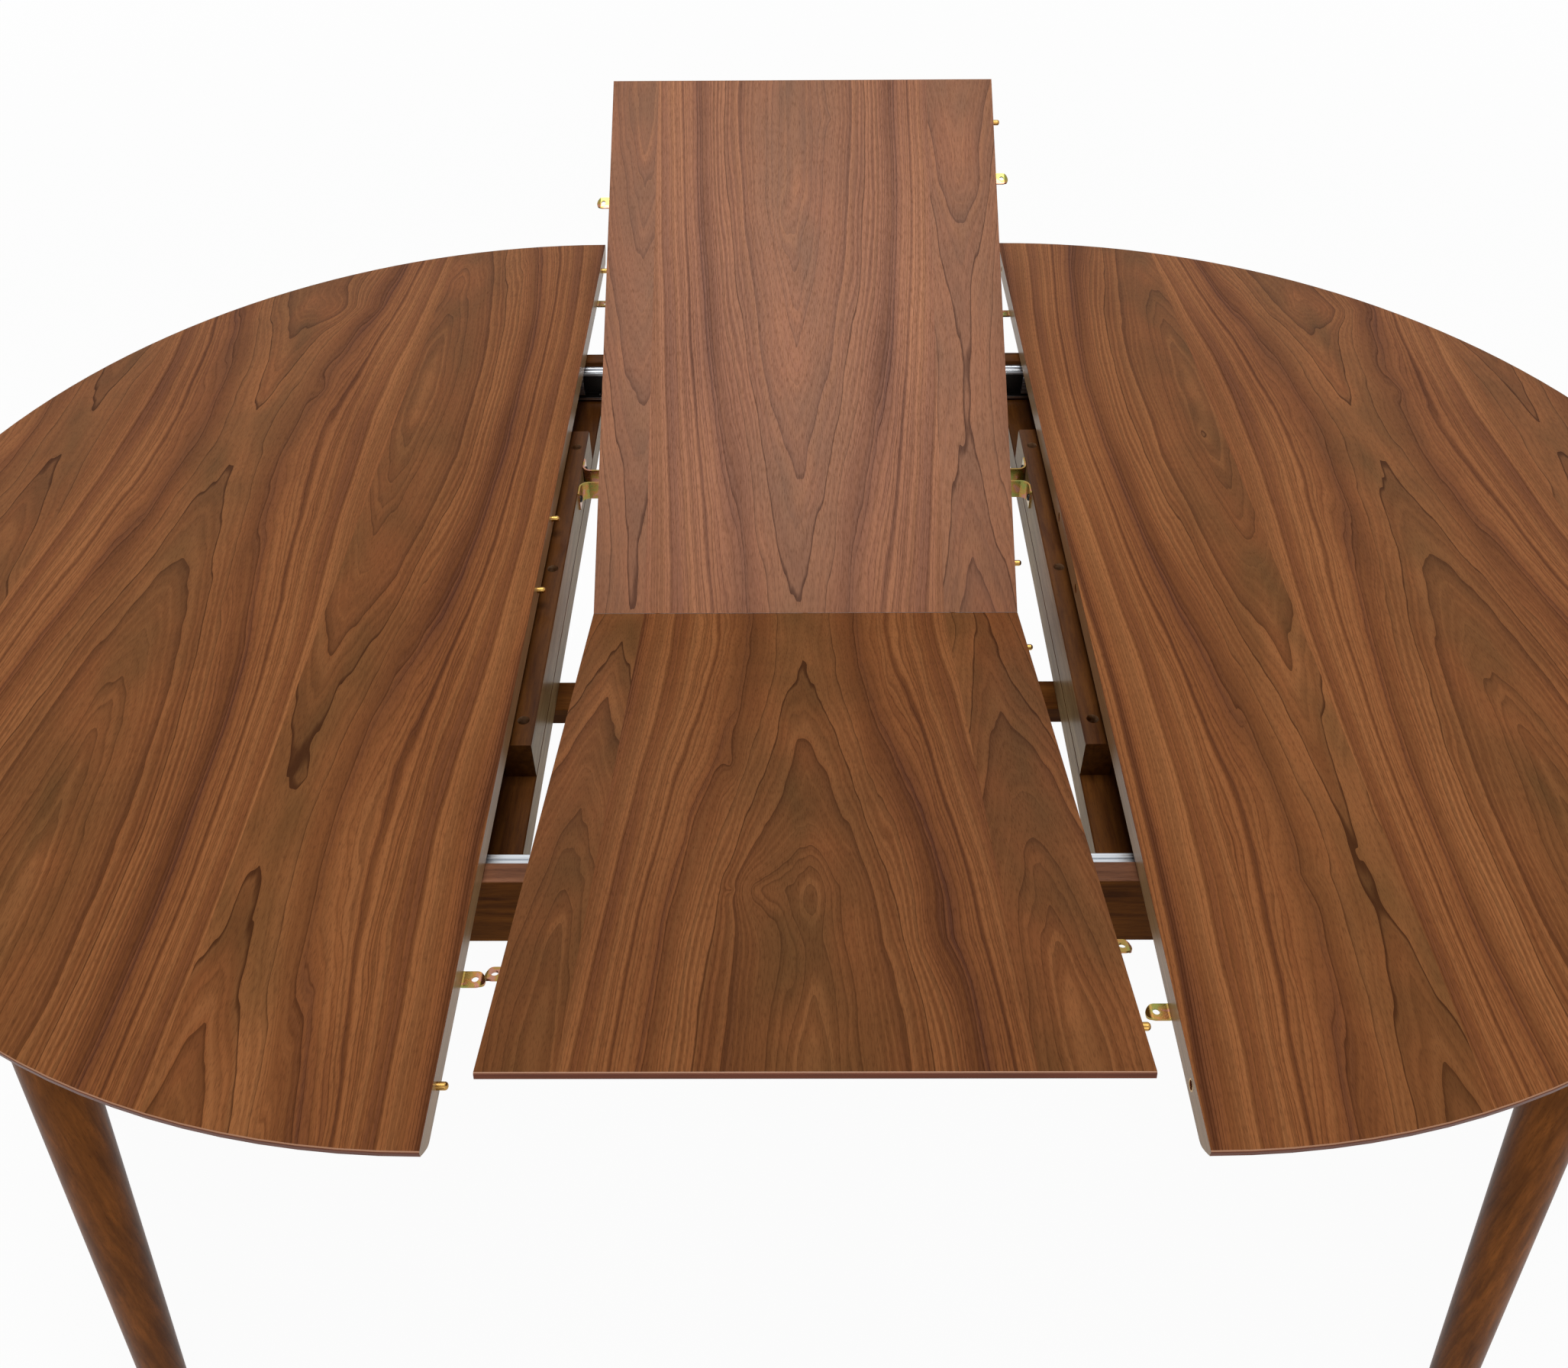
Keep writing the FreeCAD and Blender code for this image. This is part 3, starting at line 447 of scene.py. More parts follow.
def timber(name, pale, dark, along, sheen=0.035, to_flat=FLAT, polar=0.0):
    """Plain sawn hardwood, stained and lacquered: streaks along the grain, fine
    open pores, and a slightly uneven stain.  `along` is the grain's axis, and
    `polar` the place on X that a bent board's grain runs round."""
    material, tree = new_material(name)
    point = place_mm(tree, to_flat)
    if polar:
        parts = add(tree, SPLIT, point).outputs
        x = add(tree, "SUBTRACT", parts[0], polar)
        angle = add(tree, "ARCTAN2", parts[1], x)
        arc = add(tree, "MULTIPLY", angle, APRON_RADIUS)
        point = add(tree, "ShaderNodeCombineXYZ", arc, x, parts[2])
    size = [GRAIN[0] if axis == along else GRAIN[1] for axis in "XYZ"]
    streak = cells(tree, point, size, 5.0, Roughness=0.62, Distortion=0.4)
    streak = add(tree, RANGE, streak, 0.3, 0.7, 0.0, 1.0)
    tint = add(tree, MIX, streak, opaque(dark), opaque(pale), **MIXED)
    slow = add(tree, NOISE, point, Scale=1.0 / GRAIN[0], Detail=2.0)
    slow = add(tree, RANGE, slow, 0.3, 0.7, 0.86, 1.14)
    tint = add(tree, MIX, 1.0, tint, slow, **TINTED)
    pores = cells(tree, point, [length * PORE_SHARE for length in size], 2.0)
    pores = add(tree, RANGE, pores, 0.55, 0.75, 0.0, 1.0)
    pore_dark = add(tree, "MULTIPLY", pores, 0.5)
    deep = opaque(c * 0.4 for c in dark)
    tint = add(tree, MIX, pore_dark, tint, deep, **MIXED)
    bump = add(tree, BUMP, 0.35, 0.06 * MM, Height=pores, invert=True)
    add(tree, OUTPUT, add(tree, SHADER, Base_Color=tint, Roughness=0.32, Specular_IOR_Level=sheen,
                          Normal=bump))
    return material


# ------------------------------------------------------------------ metals
def zinc_plate(metal):
    """Cold-rolled steel, roll-formed and bright zinc plated: a pale blue-grey
    metal with faint rolling lines along the slide, 1.1 mm apart so that they show."""
    material, tree = new_material("rolled_zinc_plate")
    rolled = cells(tree, place_mm(tree), (83.33, 1.111, 1.111), 3.0)
    light = add(tree, RANGE, rolled, 0.3, 0.7, 0.86, 1.06)
    tint = add(tree, MIX, 1.0, opaque(metal.zinc), light, **TINTED)
    rough = add(tree, RANGE, rolled, 0.3, 0.7, 0.24, 0.36)
    add(tree, OUTPUT, add(tree, SHADER, Base_Color=tint, Metallic=1.0, Roughness=rough))
    return material


def yellow_zinc(metal):
    """Pressed steel, zinc plated and yellow passivated: the thin film turns
    yellow, orange, pink and green in patches about a centimetre across, on a
    grit of 0.7 mm, coarser than the real one so that it shows."""
    material, tree = new_material("yellow_passivated_zinc")
    point = place_mm(tree)
    patches = add(tree, NOISE, point, Scale=1.0 / 11.765, Detail=1.5, Distortion=1.0)
    film = add(tree, "ShaderNodeValToRGB", patches)
    stops = {0.38: metal.green, 0.45: metal.yellow, 0.53: metal.yellow, 0.58: metal.orange,
             0.63: metal.pink}
    while len(film.color_ramp.elements) < len(stops):
        film.color_ramp.elements.new(0.5)
    for element, place in zip(film.color_ramp.elements, stops):
        element.position = place
        element.color = opaque(stops[place])
    grit = add(tree, NOISE, point, Scale=1.0 / 0.7143, Detail=2.0)
    rough = add(tree, RANGE, grit, 0.3, 0.7, 0.2, 0.36)
    add(tree, OUTPUT, add(tree, SHADER, Base_Color=film, Metallic=1.0, Roughness=rough))
    return material


def turned_brass(metal):
    """Free-cutting brass, turned on a lathe and left bare: warm yellow with
    tool rings 0.4 mm apart and a little tarnish."""
    material, tree = new_material("turned_brass")
    turned = cells(tree, place_mm(tree), (0.3846, 16.667, 16.667), 2.0)
    light = add(tree, RANGE, turned, 0.3, 0.7, 0.8, 1.08)
    tint = add(tree, MIX, 1.0, opaque(metal.brass), light, **TINTED)
    add(tree, OUTPUT, add(tree, SHADER, Base_Color=tint, Metallic=1.0, Roughness=0.26))
    return material


def phosphated_steel(metal):
    """Steel screws and ball cages, phosphated and oiled: nearly black with a
    dull shine, and an uneven coat in patches of 1.1 mm."""
    material, tree = new_material("phosphated_steel")
    grit = add(tree, NOISE, place_mm(tree), Scale=1.0 / 1.111, Detail=3.0)
    light = add(tree, RANGE, grit, 0.3, 0.7, 0.7, 1.4)
    tint = add(tree, MIX, 1.0, opaque(metal.black), light, **TINTED)
    add(tree, OUTPUT, add(tree, SHADER, Base_Color=tint, Metallic=0.7, Roughness=0.42))
    return material


def moulded_nylon():
    """Nylon glide, injection moulded: matt near-black with a fine spark grain."""
    material, tree = new_material("moulded_nylon")
    grit = add(tree, NOISE, place_mm(tree), Scale=1.0 / 0.6667, Detail=2.0)
    tint = add(tree, MIX, grit, paint("#1B1A19"), paint("#2E2C2A"), **MIXED)
    bump = add(tree, BUMP, 0.3, 0.05 * MM, Height=grit)
    add(tree, OUTPUT, add(tree, SHADER, Base_Color=tint, Roughness=0.55, Normal=bump))
    return material


def dress(nodes, material):
    """Give CAD nodes one material."""
    for name in nodes:
        mesh = frame["nodes"][name].data
        mesh.materials.clear()
        mesh.materials.append(material)
        mesh.polygons.foreach_set("material_index", [0] * len(mesh.polygons))


def dress_faces(node, materials, pick):
    """Give a CAD node several materials; `pick` returns a face's place in the list."""
    mesh = frame["nodes"][node].data
    mesh.materials.clear()
    for material in materials:
        mesh.materials.append(material)
    mesh.polygons.foreach_set("material_index", [int(pick(face)) for face in mesh.polygons])


def named(*starts):
    return [name for name in frame["nodes"] if name.startswith(starts)]


# -------------------------------------------------- places in the flat leaf
def about(point, degrees):
    """Turn about the X axis through a point."""
    spin = Matrix.Rotation(math.radians(degrees), 4, "X")
    return Matrix.Translation(point) @ spin @ Matrix.Translation(-Vector(point))


PIVOT = Vector(JOINTS["leaf_swing"]["pos_m"])
SEAM = Vector(JOINTS["seam_link_turn"]["pos_m"])
SWING = -JOINTS["leaf_swing"]["range_deg"][0]
FAR_REST = about(PIVOT, SWING)
NEAR_REST = about(SEAM, -SWING * COUPLED["seam_link_turn"]["ratio"]) @ FAR_REST
RESTS = {"far": FAR_REST, "near": NEAR_REST}
CAD_BOX_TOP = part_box("top_left")[1].z
BOARD_THICK = (CAD_BOX_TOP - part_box("top_left")[0].z) / MM
HALF_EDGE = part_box("top_right")[0].x / MM
LEAF_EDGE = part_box("leaf_panel_far")[1].x / MM

# least part of a face's normal along an axis
SQUARE = 0.99                  # of a straight edge
LEVEL = 0.95                   # of a top or underside
SIDE_ON = 0.9                   # of a side of a rail or cleat
ROUNDED = 0.3                  # of an arris, along Z

# mm
SKIN = 1.0                     # depth in which a level face belongs to the top or underside
NEAR = 0.3                     # how near a face of a straight edge lies to that edge
APRON_RADIUS = 526.0
PIN_YS = (53.0, 549.0)         # from the middle to the pins and sockets of the edges
CLEAT_HOLE_IN = 10.0           # from a cleat's inner face to its screws
CLEAT_PITCH = 200.0
CLEAT_HOLE = 5.05              # radius that takes in the faces of a hole
CLEAT_SUNK = 24.0              # depth of the screw heads in the cleats
PLATE = 1.6                    # metal of the pivot brackets and lugs
WEB = 1.2                      # metal of the slides
BRACKET_SCREW = 5.4            # from the ends of a bracket
LUG_SCREW = (16.5, 13.2)       # from the upright of a lug, and from its middle
SLIDE_SCREWS = (-273.0, -145.0, 145.0, 273.0)
INNER_SCREWS = (62.0, 160.0, 262.0)        # from the straight edge of a half
RUNNER_SCREWS = (60.0, 165.0, 285.0)       # from the inner end of a runner
RIB_IN = 2.4                   # from a face of the slide to the middle of its rib
RIB_SHORT = 0.5                # how far a rib stops before the end
RIB = ((-2.2, 0.0), (-2.2, 0.9), (-1.5, 1.5), (1.5, 1.5), (2.2, 0.9), (2.2, 0.0))


def looking(box, axis, way):
    """Place on an axis of the face of a box that looks one way along it."""
    return box[1 if way > 0 else 0][axis]


def middle(box):
    return (box[0] + box[1]) / 2.0


def cleat_line(name):
    """Place on X of the screws in a cleat."""
    side = SIDES[name]
    return looking(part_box("cleat_" + name), 0, -side) + side * CLEAT_HOLE_IN * MM


def flat_box(node, rest, keep=lambda p: True):
    """Corners of the part of a node that `keep` accepts, with the board flat."""
    back = rest.inverted()
    points = [back @ v.co for v in frame["nodes"][node].data.vertices]
    points = [p for p in points if keep(p)]
    if not points:
        return None, None
    low = Vector([min(p[i] for p in points) for i in range(3)])
    high = Vector([max(p[i] for p in points) for i in range(3)])
    return low, high


# ------------------------------------------------------------------ screws
HEAD = ((0.0, 1.0), (0.45, 0.98), (0.72, 0.86), (0.9, 0.62), (0.99, 0.28), (1.0, 0.0))
RECESS = (2.0, 0.5, 0.35)      # length and width of its bars in radii, its floor in heights of the head
TAPER = 0.55                   # how narrow it is at the floor
SMALL = (3.6, 2.0, 1.7)        # mm: radius and height of a head, radius of its recess
LARGE = (4.6, 2.6, 2.3)


def mesh_of(shape, name):
    """Mesh with a bmesh's shape; the bmesh is freed."""
    mesh = bpy.data.meshes.new(name)
    shape.to_mesh(mesh)
    shape.free()
    return mesh


def placed(name, data):
    """Object with this data, in the scene."""
    piece = bpy.data.objects.new(name, data)
    bpy.context.scene.collection.objects.link(piece)
    return piece


def lathe(profile, steps):
    """Shape that a row of (radius, height) points draws when it spins about Z."""
    shape = bmesh.new()
    ring = [shape.verts.new((r, 0.0, z)) for r, z in profile]
    edges = [shape.edges.new(pair) for pair in zip(ring, ring[1:])]
    bmesh.ops.spin(shape, geom=ring + edges, cent=(0, 0, 0), axis=(0, 0, 1), angle=2 * math.pi,
                   steps=steps, use_merge=True)
    return shape


def screw_head(name, sizes):
    """Pan head with a cross recess, its seat at the origin, facing +Z."""
    radius, height, recess = (size * MM for size in sizes)
    head = lathe([(r * radius, z * height) for r, z in HEAD], 28)
    bmesh.ops.remove_doubles(head, verts=head.verts, dist=radius * 1e-4)
    bmesh.ops.holes_fill(head, edges=[e for e in head.edges if e.is_boundary])
    bmesh.ops.recalc_face_normals(head, faces=head.faces)
    body = placed(name, mesh_of(head, name))
    cutter = bmesh.new()
    for turn in (0.0, 90.0):
        bar = bmesh.ops.create_cube(cutter, size=1.0)["verts"]
        for vert in bar:
            narrow = TAPER if vert.co.z < 0 else 1.0
            vert.co.x *= recess * RECESS[0] * narrow
            vert.co.y *= recess * RECESS[1] * narrow
            vert.co.z = height * 1.2 if vert.co.z > 0 else height * RECESS[2]
        quarter = Matrix.Rotation(math.radians(turn), 3, "Z")
        bmesh.ops.rotate(cutter, verts=bar, cent=(0, 0, 0), matrix=quarter)
    cut = placed(name + "_recess", mesh_of(cutter, name + "_recess"))
    slot = body.modifiers.new("recess", "BOOLEAN")
    slot.object = cut
    slot.operation = "DIFFERENCE"
    slot.solver = "EXACT"
    slot.use_self = True
    whole = body.evaluated_get(bpy.context.evaluated_depsgraph_get())
    ready = bpy.data.meshes.new_from_object(whole)
    for piece in (body, cut):
        bpy.data.objects.remove(piece)
    return ready


def facing(place, direction, turn=0.0):
    """Matrix that puts a screw head's seat at a place and faces it one way."""
    spin = Vector(direction).to_track_quat("Z", "Y").to_matrix().to_4x4()
    return Matrix.Translation(place) @ spin @ Matrix.Rotation(math.radians(turn), 4, "Z")


def screws(name, body, head, spots, material):
    """One piece that holds every like screw of a body."""
    if not spots:
        raise RuntimeError("no place for " + name)
    joined = bmesh.new()
    for spot in spots:
        copy = head.copy()
        copy.transform(spot)
        joined.from_mesh(copy)
        bpy.data.meshes.remove(copy)
    mesh = mesh_of(joined, name)
    mesh.materials.append(material)
    mesh.shade_smooth()
    mesh.set_sharp_from_angle(angle=math.radians(35.0))
    piece = placed(name, mesh)
    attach(piece, body)


LOCK_SCREWS = (8.5, 24.5)      # mm from the edge the plate is screwed beside
LOCK_THICK = 1.8
TONGUE = 15.5


def lock_spots(node, rest, ways):
    """Seats of the two screws in each lock plate, below the plate.  `ways` are
    the directions along X in which the node's tongues point."""
    spots = []
    seat = CAD_BOX_TOP - (BOARD_THICK + LOCK_THICK) * MM
    parting = middle(flat_box(node, rest)).x
    for way in ways:
        for end in ENDS.values():
            def keep(p):
                return (len(ways) == 1 or (p.x - parting) * way > 0) and p.y * end > 0
            plate = flat_box(node, rest, keep)
            if plate[0] is None:
                continue
            for away in LOCK_SCREWS:
                x = looking(plate, 0, way) - way * (TONGUE + away) * MM
                spots.append(rest @ facing((x, middle(plate).y, seat), (0, 0, -1), 20.0 * away))
    return spots


FERRULE = (3.25, 4.3, 0.12, 1.5)    # mm: inner and outer radius, height it stands proud, depth


def ferrules(name, body, spots, material):
    """Thin brass rings pressed into the mouths of a body's pin sockets."""
    inner, outer, proud, deep = (value * MM for value in FERRULE)
    profile = [(inner, -deep), (inner, proud * 0.4), (inner + proud, proud), (outer - proud, proud),
               (outer, 0.0)]
    ring = lathe(profile, 32)
    bmesh.ops.recalc_face_normals(ring, faces=ring.faces)
    screws(name, body, mesh_of(ring, name), spots, material)


# ---------------------------------------------------------------- operators
class TABLE_OT_veneer(bpy.types.Operator):
    """Lay walnut veneer on the two half tops and the two leaf panels"""
    bl_idname = "leaf_table.veneer"
    bl_label = "Tops and leaf panels"

    def execute(self, context):
        veneer = context.scene.table_veneer
        group = walnut_group(veneer)
        # leaves: where each starts, its middle line, and where its cathedrals turn
        left = [(-900, -735, 190), (-697, -558, 190), (-414, -398, -330)]
        right = [(200, 400, -350), (417, 560, 190), (702, 735, 190)]
        far = [(-300, -165, 20), (-152, -5, -60), (131, 158, 240)]
        near = [(-300, -165, 20), (-152, 0, -40), (131, 158, 0)]
        # eddies, where the grain runs round a knot: place, reach, height, cusp
        left_eddies = [((-525, 445), (34, 40), -17, 1.0), ((-505, 270), (9, 22), -7, 0.6),
                       ((-400, 505), (12, 22), -6, 0.6), ((-383, -288), (8, 12), -4, 0.5)]
        right_eddies = [((585, 430), (36, 36), -17, 1.0), ((612, 258), (10, 22), -8, 0.6),
                        ((396, 178), (7, 18), -8, 0.6), ((352, -386), (12, 16), -6, 0.6)]
        far_eddies = [((-22, 425), (10, 40), -8, 0.7), ((28, 548), (10, 14), -4, 0.6),
                      ((165, 470), (24, 40), -9, 1.0)]
        near_eddies = [((-55, -424), (4, 5), 9, 0.6), ((-40, -424), (17, 30), -16, 0.8),
                       ((-8, -420), (34, 52), -12, 1.2), ((-62, -262), (9, 22), 7, 0.6),
                       ((78, -476), (26, 46), 6, 1.0)]
        # painted light and shade: the halves are painted a little lighter and the leaf panels a little darker than
        # the same veneer, for how the light falls on them
        boards = (("top_left", FLAT, left, left_eddies, [-HALF_EDGE], 1.06),
                  ("top_right", FLAT, right, right_eddies, [HALF_EDGE], 1.06),
                  ("leaf_panel_far", FAR_REST, far, far_eddies, [-LEAF_EDGE, LEAF_EDGE], 0.95),
                  ("leaf_panel_near", NEAR_REST, near, near_eddies, [-LEAF_EDGE, LEAF_EDGE], 0.95))
        for node, rest, leaves, eddies, edges, shade in boards:
            to_flat = rest.inverted()
            face = walnut_veneer("walnut_veneer_" + node, group, to_flat, leaves, eddies, shade)
            straight = board_edge("sealed_edge_" + node, to_flat, veneer.core, veneer.rim,
                                  veneer.arris_band)
            # the rim's paler line along its top arris is a painted highlight
            rim = board_edge("stained_rim_" + node, to_flat, veneer.rim, veneer.arris, veneer.arris_band)
            backing = timber("backing_veneer_" + node, veneer.mid, veneer.plum, "Y", to_flat=to_flat)
            dress_faces(node, (face, straight, rim, backing),
                        lambda polygon: board_side(polygon, to_flat, edges))
        return {"FINISHED"}


class TABLE_OT_legs(bpy.types.Operator):
    """Stain the turned legs and dress their glides"""
    bl_idname = "leaf_table.legs"
    bl_label = "Legs and glides"

    def execute(self, context):
        stain = context.scene.table_stain
        dress([n for n in named("leg_") if not n.startswith("leg_block")],
              timber("turned_leg_stain", stain.leg_pale, stain.leg_dark, "Z"))
        dress(named("glide_"), moulded_nylon())
        return {"FINISHED"}


class TABLE_OT_frames(bpy.types.Operator):
    """Stain the aprons, leg blocks and runners under the tops"""
    bl_idname = "leaf_table.frames"
    bl_label = "Frames under the tops"

    def execute(self, context):
        stain = context.scene.table_stain
        for name, side in SIDES.items():
            dress(["apron_" + name], timber("bent_apron_" + name, stain.frame_pale, stain.frame_dark,
                                            "X", polar=side * HALF_EDGE))
        dress(named("leg_block_"), timber("block_stain", stain.frame_pale, stain.frame_dark, "Z"))
        dress(named("runner_"), timber("runner_stain", stain.frame_pale, stain.frame_dark, "X"))
        return {"FINISHED"}


class TABLE_OT_carriage(bpy.types.Operator):
    """Stain the boards, rails, cleats and cross bar of the carriage"""
    bl_idname = "leaf_table.carriage"
    bl_label = "Carriage timber"

    def execute(self, context):
        stain = context.scene.table_stain
        # the front board takes three copies of its stain by the way a face looks: its own stain on the face, a
        # painted highlight on the rounded arris, and a painted reflection of the overhead lamp on the top
        front = timber("front_board_stain", stain.board_pale, stain.board_dark, "X", 0.02)
        arris = timber("painted_arris_highlight", stain.arris_band, stain.lit_crest_dark, "X")
        crest = timber("front_board_lit_crest", stain.lit_crest_pale, stain.lit_crest_dark, "X", 0.1)
        dress_faces("board_front", (front, arris, crest),
                    lambda face: (face.normal.z > ROUNDED) + (face.normal.z > LEVEL))
        dress(["board_back", "cross_bar"],
              timber("board_stain", stain.carriage_pale, stain.carriage_dark, "X"))
        rails = timber("rail_stain", stain.carriage_pale, stain.carriage_dark, "Y", 0.12)
        sides = timber("bare_and_lit_side", stain.side_pale, stain.side_dark, "Y", 0.02)
        bored = timber("bored_wood", stain.bored, stain.board_pale, "Y")
        for name in SIDES:
            line = cleat_line(name)

            def pick(face):
                hole = min(abs(face.center.y - i * CLEAT_PITCH * MM) for i in (-1, 0, 1))
                if math.hypot(face.center.x - line, hole) < CLEAT_HOLE * MM:
                    return 2
                # faces that look across the table take the pale copy: bare wood and painted light from the floor
                return abs(face.normal.x) > SIDE_ON
            for node in ("rail_" + name, "cleat_" + name):
                dress_faces(node, (rails, sides, bored), pick)
        return {"FINISHED"}


class TABLE_OT_metals(bpy.types.Operator):
    """Plate the slides, pivots, locks and hinges, and turn the brass pins"""
    bl_idname = "leaf_table.metals"
    bl_label = "Slides, pivots, locks and pins"

    def execute(self, context):
        metal = context.scene.table_metal
        dress(named("slide_", "pivot_bolt"), zinc_plate(metal))
        dress(named("ball_cages"), phosphated_steel(metal))
        dress(named("pivot_bracket", "pivot_lug", "locks_", "leaf_locks"), yellow_zinc(metal))
        dress(named("pins_", "leaf_pins", "hinge_"), turned_brass(metal))
        return {"FINISHED"}


class TABLE_OT_screws(bpy.types.Operator):
    """Drive the screws that hold plates, slides, cleats and runners"""
    bl_idname = "leaf_table.screws"
    bl_label = "Screws"

    def execute(self, context):
        metal = context.scene.table_metal
        black = phosphated_steel(metal)
        small = screw_head("small_screw", SMALL)
        large = screw_head("large_screw", LARGE)
        for name, side in SIDES.items():
            spots = lock_spots("locks_" + name, FLAT, [-side])
            screws("lock_screws_" + name, name + "_half", small, spots, black)
        for name, rest in RESTS.items():
            spots = lock_spots("leaf_locks_" + name, rest, [-1.0, 1.0])
            screws("leaf_lock_screws_" + name, "leaf_" + name, small, spots, black)
        self.pivots(small, black)
        self.carriage(small, large, black)
        self.runners(small, large, black)
        self.sockets(turned_brass(metal))
        self.ribs(zinc_plate(metal))
        return {"FINISHED"}

    def sockets(self, material):
        """Ferrules in the edges that face the pins."""
        height = CAD_BOX_TOP - BOARD_THICK / 2.0 * MM
        spots = [facing((HALF_EDGE * MM, y * end * MM, height), (-1, 0, 0))
                 for y in PIN_YS for end in ENDS.values()]
        ferrules("half_ferrules", "right_half", spots, material)
        for name, rest in RESTS.items():
            end = 1.0 if name == "far" else -1.0
            spots = [rest @ facing((-LEAF_EDGE * MM, y * end * MM, height), (-1, 0, 0)) for y in PIN_YS]
            ferrules("leaf_ferrules_" + name, "leaf_" + name, spots, material)

    def pivots(self, head, material):
        """Screws of the brackets on the cleats and of the lugs under the leaf."""
        metal_thick = PLATE * MM
        spots = []
        lugs = []
        for name, side in SIDES.items():
            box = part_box("pivot_bracket_" + name)
            face = looking(box, 0, side) - side * metal_thick
            for end in (-1.0, 1.0):
                y = looking(box, 1, end) - end * BRACKET_SCREW * MM
                spots.append(facing((face, y, middle(box).z), (-side, 0, 0), 30.0 * y / MM))
            box = flat_box("pivot_lug_" + name, FAR_REST)
            upright = looking(box, 0, side) - side * metal_thick / 2.0
            for end in (-1.0, 1.0):
                place = (upright - side * LUG_SCREW[0] * MM, middle(box).y + end * LUG_SCREW[1] * MM,
                         box[1].z - metal_thick)
                lugs.append(FAR_REST @ facing(place, (0, 0, -1), 40.0 * end))
        screws("bracket_screws", "carriage", head, spots, material)
        screws("lug_screws", "leaf_far", head, lugs, material)

    def carriage(self, small, large, material):
        """Screws sunk in the cleats, under the cross bar and in the slides."""
        spots = []
        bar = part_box("cross_bar")
        for name in SIDES:
            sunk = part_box("cleat_" + name)[1].z - CLEAT_SUNK * MM
            for i in (-1, 0, 1):
                place = (cleat_line(name), i * CLEAT_PITCH * MM, sunk)
                spots.append(facing(place, (0, 0, 1), 25.0 * i))
            place = (middle(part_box("rail_" + name)).x, middle(bar).y, bar[0].z)
            spots.append(facing(place, (0, 0, -1), 35.0))
        screws("carriage_screws", "carriage", large, spots, material)
        spots = []
        for name, end in ENDS.items():
            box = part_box("slide_outer_" + name)
            face = looking(box, 1, end) - end * WEB * MM
            for x in SLIDE_SCREWS:
                spots.append(facing((x * MM, face, middle(box).z), (0, -end, 0), x))
        screws("slide_screws", "carriage", small, spots, material)

    def ribs(self, material):
        """Two ribs rolled along the upper lip of each outer member; the ball race
        shows as a dark line between them."""
        shape = bmesh.new()
        for name in ENDS:
            low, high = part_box("slide_outer_" + name)
            for y in (low.y + RIB_IN * MM, high.y - RIB_IN * MM):
                near, far = [[shape.verts.new((x, y + a * MM, high.z + b * MM)) for a, b in RIB]
                             for x in (low.x + RIB_SHORT * MM, high.x - RIB_SHORT * MM)]
                shape.faces.new(near)
                shape.faces.new(far)
                for i in range(len(RIB)):
                    j = (i + 1) % len(RIB)
                    shape.faces.new((near[i], near[j], far[j], far[i]))
        bmesh.ops.recalc_face_normals(shape, faces=shape.faces)
        mesh = mesh_of(shape, "slide_ribs")
        mesh.materials.append(material)
        ribs = placed("slide_ribs", mesh)
        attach(ribs, "carriage")

    def runners(self, small, large, material):
        """Screws of the inner slide members and the runners."""
        for side_name, side in SIDES.items():
            slide = []
            wood = []
            for end_name, end in ENDS.items():
                tag = side_name + "_" + end_name
                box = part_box("slide_inner_" + tag)
                face = looking(box, 1, -end) + end * WEB * MM
                for along in INNER_SCREWS:
                    place = (side * (HALF_EDGE + along) * MM, face, middle(box).z)
                    slide.append(facing(place, (0, end, 0), along))
                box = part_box("runner_" + tag)
                for along in RUNNER_SCREWS:
                    place = (looking(box, 0, -side) + side * along * MM, middle(box).y, box[0].z)
                    wood.append(facing(place, (0, 0, -1), along))
            body = side_name + "_half"
            screws("inner_slide_screws_" + side_name, body, small, slide, material)
            screws("runner_screws_" + side_name, body, large, wood, material)


FLOOR_REACH = 9.0              # m from the middle to the sides of the floor
FLOOR_FADE = (2.5, 6.0)        # m from the middle between which the table's shadow fades out
FLOOR_SHOWN = 0.96             # share of plain white in the floor round the table


def seen_straight(tree):
    """1 where a ray comes from the camera, a mirror or glass, 0 where it carries light."""
    rays = add(tree, "ShaderNodeLightPath").outputs
    seen = add(tree, "MAXIMUM", rays["Is Camera Ray"], rays["Is Glossy Ray"])
    return add(tree, "MAXIMUM", seen, rays["Is Transmission Ray"])


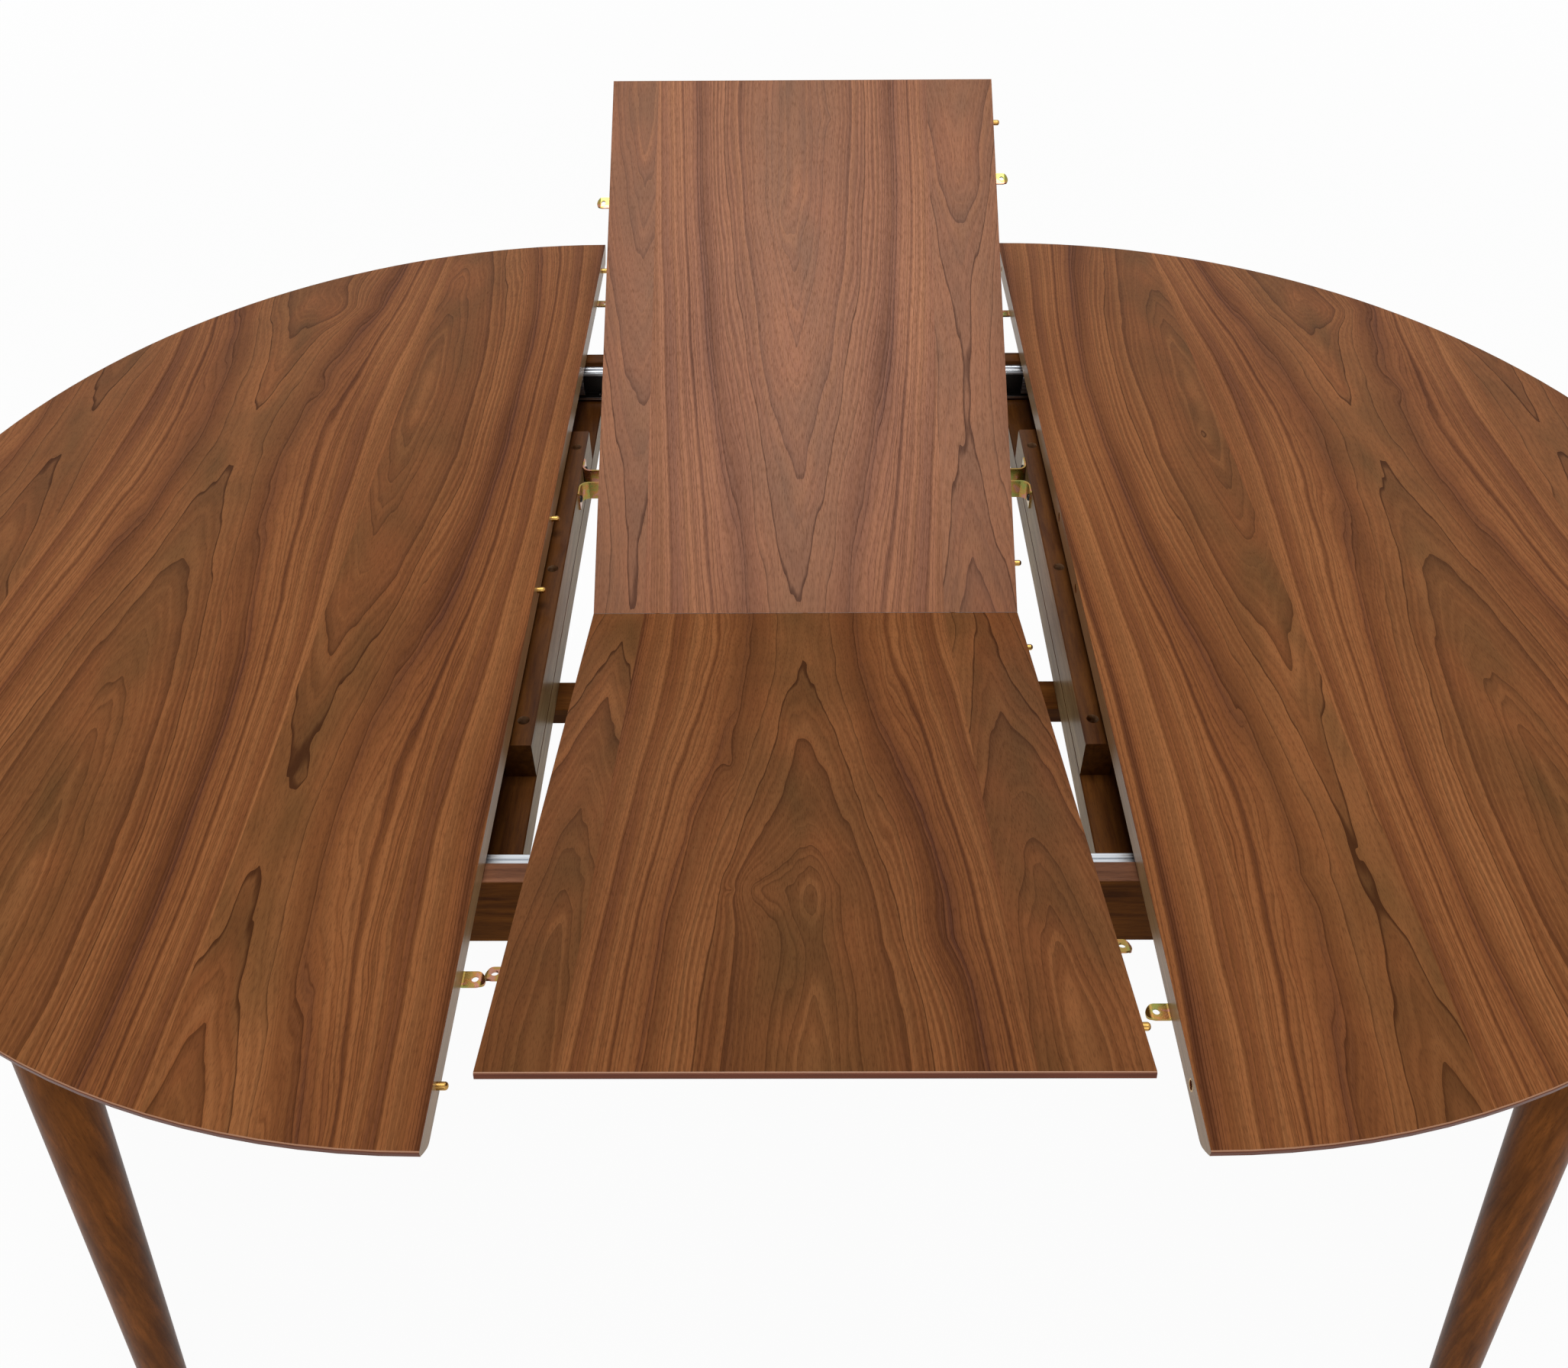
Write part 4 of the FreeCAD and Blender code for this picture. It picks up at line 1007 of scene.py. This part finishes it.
class TABLE_OT_stage(bpy.types.Operator):
    """Set the floor, the soft light and the camera"""
    bl_idname = "leaf_table.stage"
    bl_label = "Floor, light and camera"

    def execute(self, context):
        stage = context.scene.table_stage
        self.floor()
        self.world(context, stage.ambient)
        self.softbox("overhead_softbox", (0.0, 0.02, 5.2), (0.0, 0.02, 0.76), (1.9, 2.4), stage.softbox)
        self.softbox("front_fill", (0.0, -4.6, 1.7), (0.0, 0.0, 0.6), (3.2, 1.8), stage.fill)
        self.camera(context, stage)
        context.scene.view_settings.view_transform = "Standard"
        return {"FINISHED"}

    def floor(self):
        """Pale seamless floor that shows white but keeps the table's shadow."""
        mesh = bpy.data.meshes.new("floor")
        corners = [(x, y, 0) for x, y in ((-1, -1), (1, -1), (1, 1), (-1, 1))]
        mesh.from_pydata(corners, [], [(0, 1, 2, 3)])
        mesh.transform(Matrix.Scale(FLOOR_REACH, 4))
        floor = placed("floor", mesh)
        material, tree = new_material("painted_floor")
        # the floor shows the light on it only round the table, so no horizon is seen
        spot = add(tree, "ShaderNodeTexCoord").outputs["Object"]
        away = add(tree, VECTOR, spot, operation="LENGTH")
        white = add(tree, RANGE, away, *FLOOR_FADE, FLOOR_SHOWN, 1.0)
        share = add(tree, "MULTIPLY", seen_straight(tree), white)
        matt = add(tree, "ShaderNodeBsdfDiffuse", paint("#F2F2F1"))
        bright = add(tree, "ShaderNodeEmission", (1, 1, 1, 1), 1.0)
        add(tree, OUTPUT, add(tree, "ShaderNodeMixShader", share, matt, bright))
        mesh.materials.append(material)

    def world(self, context, strength):
        """Even light from all round; the backdrop itself shows white."""
        world = bpy.data.worlds.new("white_room")
        world.use_nodes = True
        tree = world.node_tree
        tree.nodes.clear()
        power = add(tree, RANGE, seen_straight(tree), 0.0, 1.0, strength, 1.0)
        light = add(tree, "ShaderNodeBackground", (1, 1, 1, 1), power)
        add(tree, "ShaderNodeOutputWorld", light)
        context.scene.world = world

    def softbox(self, name, place, target, size, power):
        lamp = bpy.data.lights.new(name, "AREA")
        lamp.shape = "RECTANGLE"
        lamp.size, lamp.size_y = size
        lamp.energy = power
        holder = placed(name, lamp)
        holder.location = place
        holder.rotation_euler = (Vector(target) - Vector(place)).to_track_quat("-Z", "Y").to_euler()

    def camera(self, context, stage):
        """Camera above the near side, looking down the length of the leaf."""
        sin, cos = math.sin, math.cos
        level = Vector((-sin(stage.yaw), cos(stage.yaw), 0.0))
        right = Vector((cos(stage.yaw), sin(stage.yaw), 0.0))
        up = Vector((0.0, 0.0, 1.0))
        forward = level * cos(stage.pitch) - up * sin(stage.pitch)
        down = -level * sin(stage.pitch) - up * cos(stage.pitch)
        leaned = right * cos(stage.roll) + down * sin(stage.roll)
        low = -right * sin(stage.roll) + down * cos(stage.roll)
        turn = Matrix((leaned, -low, -forward)).transposed().to_4x4()
        data = bpy.data.cameras.new("camera")
        data.lens = stage.lens
        data.sensor_width = 36.0
        holder = placed("camera", data)
        place = Vector((stage.camera_x, stage.camera_y, stage.camera_z))
        holder.matrix_world = Matrix.Translation(place) @ turn
        context.scene.camera = holder


class TABLE_PT_panel(bpy.types.Panel):
    """Steps that dress the table, in order"""
    bl_idname = "TABLE_PT_panel"
    bl_label = "Leaf Table"
    bl_space_type = "VIEW_3D"
    bl_region_type = "UI"
    bl_category = "Leaf Table"

    def draw(self, context):
        for step in STEPS:
            self.layout.operator(step.bl_idname)


STEPS = (TABLE_OT_veneer, TABLE_OT_legs, TABLE_OT_frames, TABLE_OT_carriage, TABLE_OT_metals,
         TABLE_OT_screws, TABLE_OT_stage)
GROUPS = {"table_veneer": VeneerSettings, "table_stain": StainSettings,
          "table_metal": MetalSettings, "table_stage": StageSettings}
CLASSES = tuple(GROUPS.values()) + STEPS + (TABLE_PT_panel,)


def register():
    for item in CLASSES:
        bpy.utils.register_class(item)
    for name, group in GROUPS.items():
        setattr(bpy.types.Scene, name, PointerProperty(type=group))


def unregister():
    for name in GROUPS:
        delattr(bpy.types.Scene, name)
    for item in reversed(CLASSES):
        bpy.utils.unregister_class(item)


def main():
    register()
    bpy.ops.leaf_table.veneer()
    bpy.ops.leaf_table.legs()
    bpy.ops.leaf_table.frames()
    bpy.ops.leaf_table.carriage()
    bpy.ops.leaf_table.metals()
    bpy.ops.leaf_table.screws()
    bpy.ops.leaf_table.stage()


if __name__ == "__main__":
    main()
